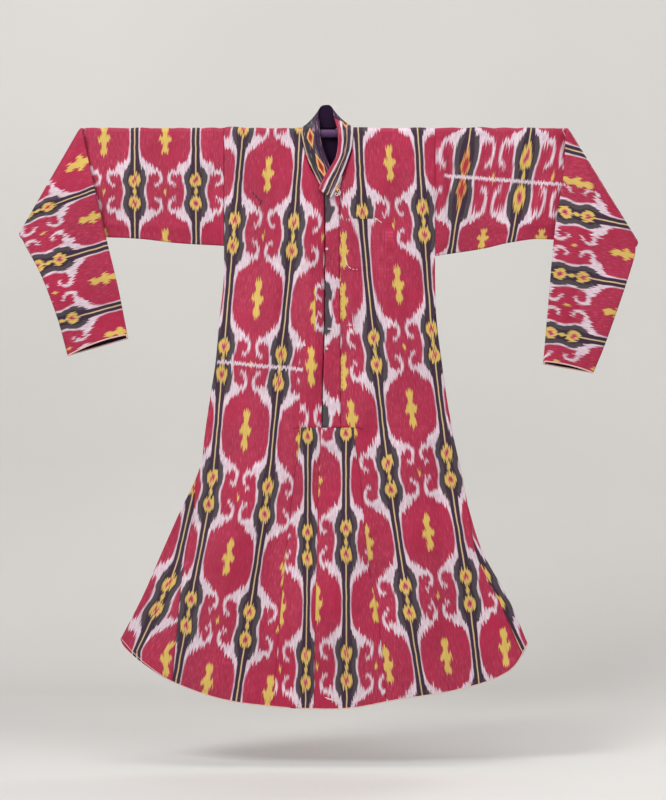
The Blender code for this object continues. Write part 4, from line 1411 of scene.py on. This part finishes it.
def sleeve_cloth(side):
    """A whole sleeve, one tube from the armhole over the fold to the cuff. Gives the cuff's edge."""
    columns = [k / 2 for k in range(2 * ARC_COLUMNS)]
    columns += [ARC_COLUMNS + share * FLAT_COLUMNS for share in shares(SPANS["round"])]
    stations = [("upper", share) for share in shares(SPANS["upper"])]
    stations += [("upper", 1 + k / 7) for k in range(1, 8)]
    stations += [("lower", 2 - k / 7) for k in range(1, 7)]
    stations += [("lower", share) for share in reversed(shares(SPANS["lower"]))]
    rows = []
    for part, row in stations:
        inner = [sleeve_corner(side, part, False, k, row) for k in columns]
        outer = [sleeve_corner(side, part, True, k, row) for k in columns]
        low = (inner[-1][0] + outer[-1][0]) / 2
        down = inner[-1][0] - inner[-2][0]
        low += Vector((down.x, 0, down.z)).normalized() * EDGE
        rows.append(inner + [(low, inner[-1][1])] + outer[::-1])

    def outward(place):
        """Only the front of the upper sleeve tells which way is out."""
        flat = place.z > -0.2 and place.y < 0 and abs(place.x) < 0.4
        return WAYS["front"] if flat else Vector((0, 0, 0))

    nodes = [f"sleeve_{side}_{part}_{face}" for part in ("upper", "lower") for face in ("front", "back")]
    sew(f"sleeve_cloth_{side}", rows, nodes, (0.54, 0.66), outward=outward)
    return [place for place, _ in rows[-1]]


# Collar
def collar_cloth(side):
    """One end of the collar, from the side of the neck down to the slit."""
    table = numbered(COLLAR[side])
    rows = []
    for j in range(41):
        seam_x, seam_z, free_x, free_z, walls = (read(table, j / 40, column) for column in range(1, 6))
        seam_y = over_rod(seam_x, seam_z, walls)
        free_y = over_rod(free_x, min(free_z, 0), walls)
        if free_z > 0:
            free_y *= 1 - ease(free_z / 0.034)
        row = []
        for i in range(13):
            share = i / 12
            y = mix(seam_y, free_y, share) + 0.001 * math.sin(math.pi * share)
            place = Vector((mix(seam_x, free_x, share), -max(y, SEAM), mix(seam_z, free_z, share)))
            row.append((place, one_chart((share, j / 40))))
        rows.append(row)
    name, rests_on = f"collar_cloth_{side}", f"front_cloth_{side}"
    outer = node = f"collar_{side}"
    sew(name, rows, [node], (0.046, 0.17), rests_on=rests_on, outer=outer, slot="collar_cloth")


def collar_back_cloth():
    """The collar behind the neck."""
    table = numbered(COLLAR_BACK)
    rows = []
    for j in range(49):
        values = [read(table, j / 48, column) for column in range(1, 7)]
        seam, free = Vector(values[:3]), Vector(values[3:])
        rows.append([(seam.lerp(free, i / 12), one_chart((i / 12, -j / 48))) for i in range(13)])
    looks = {"face": "back", "rests_on": "back_cloth", "outer": "collar_left", "slot": "collar_cloth"}
    sew("collar_cloth_back", rows, ["collar_back"], (0.056, 0.14), **looks)


# Sewing
def stitch(first, second, proud=0.0006):
    """A thread from one place to another on the front, arched over the cloth."""
    points = []
    for k in range(6):
        x, z = mix(first[0], second[0], k / 5), mix(first[1], second[1], k / 5)
        above = WALL / 2 - SUNK + proud * 2 * math.sin(math.pi * k / 5)
        points.append(Vector((x, -(depth("front", x, z) + fine_depth("front", x, z) + above), z)))
    return points


def row_of_stitches(start, end, place):
    """Stitches along a seam, whose place is a function of the distance along it."""
    paths = []
    at = start
    while at < end:
        paths.append(stitch(place(at), place(at + STITCH)))
        at += STITCH_STEP
    return paths


class ROBE_OT_stage(bpy.types.Operator):
    """Makes the floor, the backdrop, the lights and the camera"""

    bl_idname = "robe.stage"
    bl_label = "Stage"

    def execute(self, context):
        bpy.ops.mesh.primitive_plane_add(size=24.0, location=(0, 0, FLOOR_Z - 0.001))
        floor = settle(context.object, "studio_floor")
        paint(floor, "wall")
        # A paper roll hangs behind and runs out over the floor, narrow enough to look past it from behind
        bpy.ops.mesh.primitive_plane_add(size=1.0)
        roll = settle(context.object, "studio_paper_roll")
        paint(roll, "wall")
        profile = [(-1.0, FLOOR_Z), (1.6, FLOOR_Z)]
        for k in range(1, 13):
            turn = k * math.pi / 24
            profile.append((1.6 + 0.6 * math.sin(turn), FLOOR_Z + 0.6 - 0.6 * math.cos(turn)))
        profile.append((2.2, 3.0))
        bm = bmesh.new()
        pairs = [[bm.verts.new((x, y, z)) for x in (-1.35, 1.39)] for y, z in profile]
        for (a, b), (d, c) in zip(pairs, pairs[1:]):
            bm.faces.new((a, b, c, d))
        bm.to_mesh(roll.data)
        bm.free()
        roll.data.shade_smooth()
        for name, place, size, power, aim_z in (
            ("key", (-2.3, -3.4, 2.3), 1.6, 137.0, -0.2),
            ("fill", (3.0, -4.0, 0.8), 2.6, 46.0, -0.4),
            ("top", (0.2, -1.0, 3.2), 2.5, 60.0, -0.5),
            ("back", (3.0, 4.2, 1.8), 2.0, 110.0, -0.5),
        ):
            bpy.ops.object.light_add(type="AREA", location=place)
            lamp = context.object
            lamp.name = name
            lamp.data.size = size
            lamp.data.energy = power
            lamp.rotation_euler = (Vector((0, 0, aim_z)) - Vector(place)).to_track_quat("-Z", "Y").to_euler()
        world = context.scene.world or bpy.data.worlds.new("studio")
        context.scene.world = world
        world.use_nodes = True
        sky = world.node_tree.nodes["Background"]
        sky.inputs["Color"].default_value = (0.9, 0.9, 0.92, 1.0)
        sky.inputs["Strength"].default_value = 0.38
        # The camera stands 6 m off, and its picture is 1.72 m high there
        bpy.ops.object.camera_add(location=(0.0183, -6.0, -0.573), rotation=(math.pi / 2, 0, 0))
        camera = context.object
        camera.data.sensor_fit = "VERTICAL"
        camera.data.sensor_height = 24.0
        camera.data.lens = 24.0 * 6.0 / 1.72
        context.scene.camera = camera
        context.scene.view_settings.view_transform = "Standard"
        return {"FINISHED"}


class ROBE_OT_body(bpy.types.Operator):
    """Makes the fronts, the inset, the band along the slit, the gores and the back"""

    bl_idname = "robe.body"
    bl_label = "Body"

    def execute(self, context):
        back_cloth()
        for side in SIGN:
            front_cloth(side)
            inset_cloth(side)
            for face in OUT:
                gore_cloth(side, face)
        placket_cloth()
        return {"FINISHED"}


class ROBE_OT_sleeves(bpy.types.Operator):
    """Makes both sleeves and the tape round their cuffs"""

    bl_idname = "robe.sleeves"
    bl_label = "Sleeves"

    def execute(self, context):
        for side in SIGN:
            tube(f"cuff_tape_{side}", [sleeve_cloth(side)], sizes().tape, "tape", "ikat", closed=True)
        return {"FINISHED"}


class ROBE_OT_collar(bpy.types.Operator):
    """Makes the collar in its three lengths"""

    bl_idname = "robe.collar"
    bl_label = "Collar"

    def execute(self, context):
        collar_back_cloth()
        for side in SIGN:
            collar_cloth(side)
        return {"FINISHED"}


class ROBE_OT_rod(bpy.types.Operator):
    """Gives the rod its cotton sleeve"""

    bl_idname = "robe.rod"
    bl_label = "Rod"

    def execute(self, context):
        paint(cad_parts["rod"], "rod")
        return {"FINISHED"}


class ROBE_OT_knot(bpy.types.Operator):
    """Ties the collar's knot of cord, with loops of pale thread that are painted highlight on it"""

    bl_idname = "robe.knot"
    bl_label = "Knot"

    def execute(self, context):
        low, high = (Vector(corner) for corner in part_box("collar_knot"))
        middle, radius = (low + high) / 2, (high.x - low.x) / 2
        turns = []
        for number, (tilt, spin) in enumerate(KNOT_TURNS):
            bpy.ops.mesh.primitive_torus_add(
                major_radius=radius * 0.66,
                minor_radius=radius * 0.30,
                major_segments=28,
                minor_segments=10,
                location=middle,
                rotation=(tilt, spin, number),
            )
            turns.append(context.object)
        select_only(*turns)
        bpy.ops.object.join()
        knot = settle(context.object, "collar_knot_turns")
        # One closed ball of cord, with soft valleys between its turns
        skin = knot.modifiers.new("Skin", "REMESH")
        skin.mode = "VOXEL"
        skin.voxel_size = radius * 0.05
        bpy.ops.object.modifier_apply(modifier="Skin")
        pull = knot.modifiers.new("Pull", "SMOOTH")
        pull.factor = 0.5
        pull.iterations = 3
        bpy.ops.object.modifier_apply(modifier="Pull")
        paint(knot, "dark")
        bpy.ops.object.shade_smooth()
        hand_over(knot, "knot_cord", "collar_knot")
        # Loops of pale thread round the knot: painted highlight, standing where the knot shows white glints
        loops = []
        for dx, dz, wide, tall, lean in KNOT_GLINT_LOOPS:
            ring = []
            for k in range(18):
                turn = k * math.tau / 18
                across, up = wide * math.cos(turn), tall * math.sin(turn)
                x = middle.x + dx + across * math.cos(lean) - up * math.sin(lean)
                z = middle.z + dz + across * math.sin(lean) + up * math.cos(lean)
                ring.append(Vector((x, middle.y - radius * (0.75 + 0.25 * math.cos(turn)), z)))
            loops.append(ring)
        tube("collar_knot_glint_loops", loops, sizes().thread, "thread", "knot_cord", closed=True)
        gold = []
        for k in range(4):
            start = middle + Vector((-0.003 + 0.0012 * k, -radius * 0.9, 0.015 - 0.0008 * k))
            gold.append([start - Vector((0, 0, 0.003 * n)) for n in range(4)])
        tube("collar_end_stitches", gold, sizes().thread, "gold", "knot_cord")
        return {"FINISHED"}


class ROBE_OT_buttons(bpy.types.Operator):
    """Turns the two small buttons on the slit, and sews them on"""

    bl_idname = "robe.buttons"
    bl_label = "Buttons"

    def execute(self, context):
        for number in (1, 2):
            low, high = (Vector(corner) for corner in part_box(f"button_{number}"))
            middle, radius, thick = (low + high) / 2, (high.x - low.x) / 2, high.y - low.y
            bpy.ops.mesh.primitive_cylinder_add(
                vertices=32, radius=radius, depth=thick, location=middle, rotation=(math.pi / 2, 0, 0)
            )
            button = settle(context.object, f"shell_button_{number}")
            bpy.ops.object.mode_set(mode="EDIT")
            bpy.ops.mesh.select_mode(type="FACE")
            bpy.ops.mesh.select_all(action="DESELECT")
            bpy.ops.object.mode_set(mode="OBJECT")
            for polygon in button.data.polygons:
                polygon.select = polygon.normal.y < -0.9
            # A raised rim round a sunken middle
            bpy.ops.object.mode_set(mode="EDIT")
            bpy.ops.mesh.inset(thickness=radius * 0.28)
            bpy.ops.transform.translate(value=(0, thick * 0.35, 0))
            bpy.ops.mesh.inset(thickness=radius * 0.3)
            bpy.ops.object.mode_set(mode="OBJECT")
            bevel = button.modifiers.new("Edge", "BEVEL")
            bevel.width = thick * 0.18
            bevel.segments = 2
            bpy.ops.object.modifier_apply(modifier="Edge")
            bpy.ops.object.shade_smooth_by_angle(angle=math.radians(40))
            paint(button, "shell")
            hand_over(button, "button", f"button_{number}")
            cross = []
            for lean in (BUTTON_CROSS, -BUTTON_CROSS):
                line = []
                for t in (-1, -0.5, 0, 0.5, 1):
                    proud = thick * 0.35 + 0.0004 * (1 - t * t)
                    line.append(middle + Vector((lean * t, -proud, BUTTON_CROSS * t)))
                cross.append(line)
            tube(f"shell_button_thread_{number}", cross, sizes().thread * 0.6, "thread", "button")
        return {"FINISHED"}


class ROBE_OT_sewing(bpy.types.Operator):
    """Sews the mends, the frayed threads, the hem's tape, and the stitches along the hem and the seams"""

    bl_idname = "robe.sewing"
    bl_label = "Sewing"

    def execute(self, context):
        thread = sizes().thread
        for number, (finish, *stitches) in enumerate(MENDS, 1):
            tube(f"mend_{number}", [stitch(*ends) for ends in stitches], thread, finish, "ikat")
        draw = random.Random(4)
        frayed = []
        for _ in range(7):
            across, up = draw.uniform(-0.003, 0.003), draw.uniform(-0.003, 0.004)
            start = Vector((0.0205 + across, -0.003, 0.056 + up))
            lean, reach = draw.uniform(0.2, 1.1), draw.uniform(0.003, 0.007)
            path = []
            for t in (0, 0.3, 0.6, 0.85, 1.0):
                rise = math.sin(lean) * t * reach - 0.002 * t * t
                path.append(start + Vector((math.cos(lean) * t * reach, -0.001 * t, rise)))
            frayed.append(path)
        tube("collar_frayed_threads", frayed, thread * 0.6, "thread", "collar_cloth")
        ring = []
        for face in OUT:
            for k in range(241):
                x = mix(HEM[0][0], HEM[-1][0], k / 240 if face == "front" else 1 - k / 240)
                x = max(side_x("left", read(HEM, x)) + SEAM, min(side_x("right", read(HEM, x)) - SEAM, x))
                z = read(HEM, x)
                y = OUT[face] * (depth(face, x, z) + fine_depth(face, x, z))
                ring.append(Vector((x, y, z + HEM_TAPE / 2)))
        tube("hem_tape", [ring], HEM_TAPE, "tape", "ikat", closed=True)

        def hem(x):
            return x, read(HEM, x) + HEM_STITCH

        def slit(down):
            return read(RIGHT_INNER, -down) + SEAM_MARGIN, -down

        def cross_seam(x):
            return x, CROSS_SEAM_Z - SEAM_MARGIN

        paths = row_of_stitches(HEM[0][0] + 0.02, HEM[-1][0] - 0.02, hem)
        paths += row_of_stitches(0.15, -CROSS_SEAM_Z - 0.01, slit)
        paths += row_of_stitches(-0.046, 0.058, cross_seam)
        tube("seam_stitches", paths, thread * 0.6, "crimson", "ikat")
        return {"FINISHED"}


OPERATORS = (
    ROBE_OT_stage,
    ROBE_OT_body,
    ROBE_OT_sleeves,
    ROBE_OT_collar,
    ROBE_OT_rod,
    ROBE_OT_knot,
    ROBE_OT_buttons,
    ROBE_OT_sewing,
)


class ROBE_PT_panel(bpy.types.Panel):
    """Lists the robe's sizes, colours and pieces"""

    bl_label = "Robe"
    bl_space_type = "VIEW_3D"
    bl_region_type = "UI"
    bl_category = "Robe"

    def draw(self, context):
        for group in (context.scene.robe_sizes, context.scene.robe_colours):
            for name in type(group).__annotations__:
                self.layout.prop(group, name)
        for operator in OPERATORS:
            self.layout.operator(operator.bl_idname)


CLASSES = (RobeSizes, RobeColours, *OPERATORS, ROBE_PT_panel)


def register():
    for made in CLASSES:
        bpy.utils.register_class(made)
    bpy.types.Scene.robe_sizes = bpy.props.PointerProperty(type=RobeSizes)
    bpy.types.Scene.robe_colours = bpy.props.PointerProperty(type=RobeColours)


def unregister():
    del bpy.types.Scene.robe_sizes
    del bpy.types.Scene.robe_colours
    for made in reversed(CLASSES):
        bpy.utils.unregister_class(made)


def main():
    register()
    bpy.ops.robe.stage()
    bpy.ops.robe.body()
    bpy.ops.robe.sleeves()
    bpy.ops.robe.collar()
    bpy.ops.robe.rod()
    bpy.ops.robe.knot()
    bpy.ops.robe.buttons()
    bpy.ops.robe.sewing()


if __name__ == "__main__":
    main()
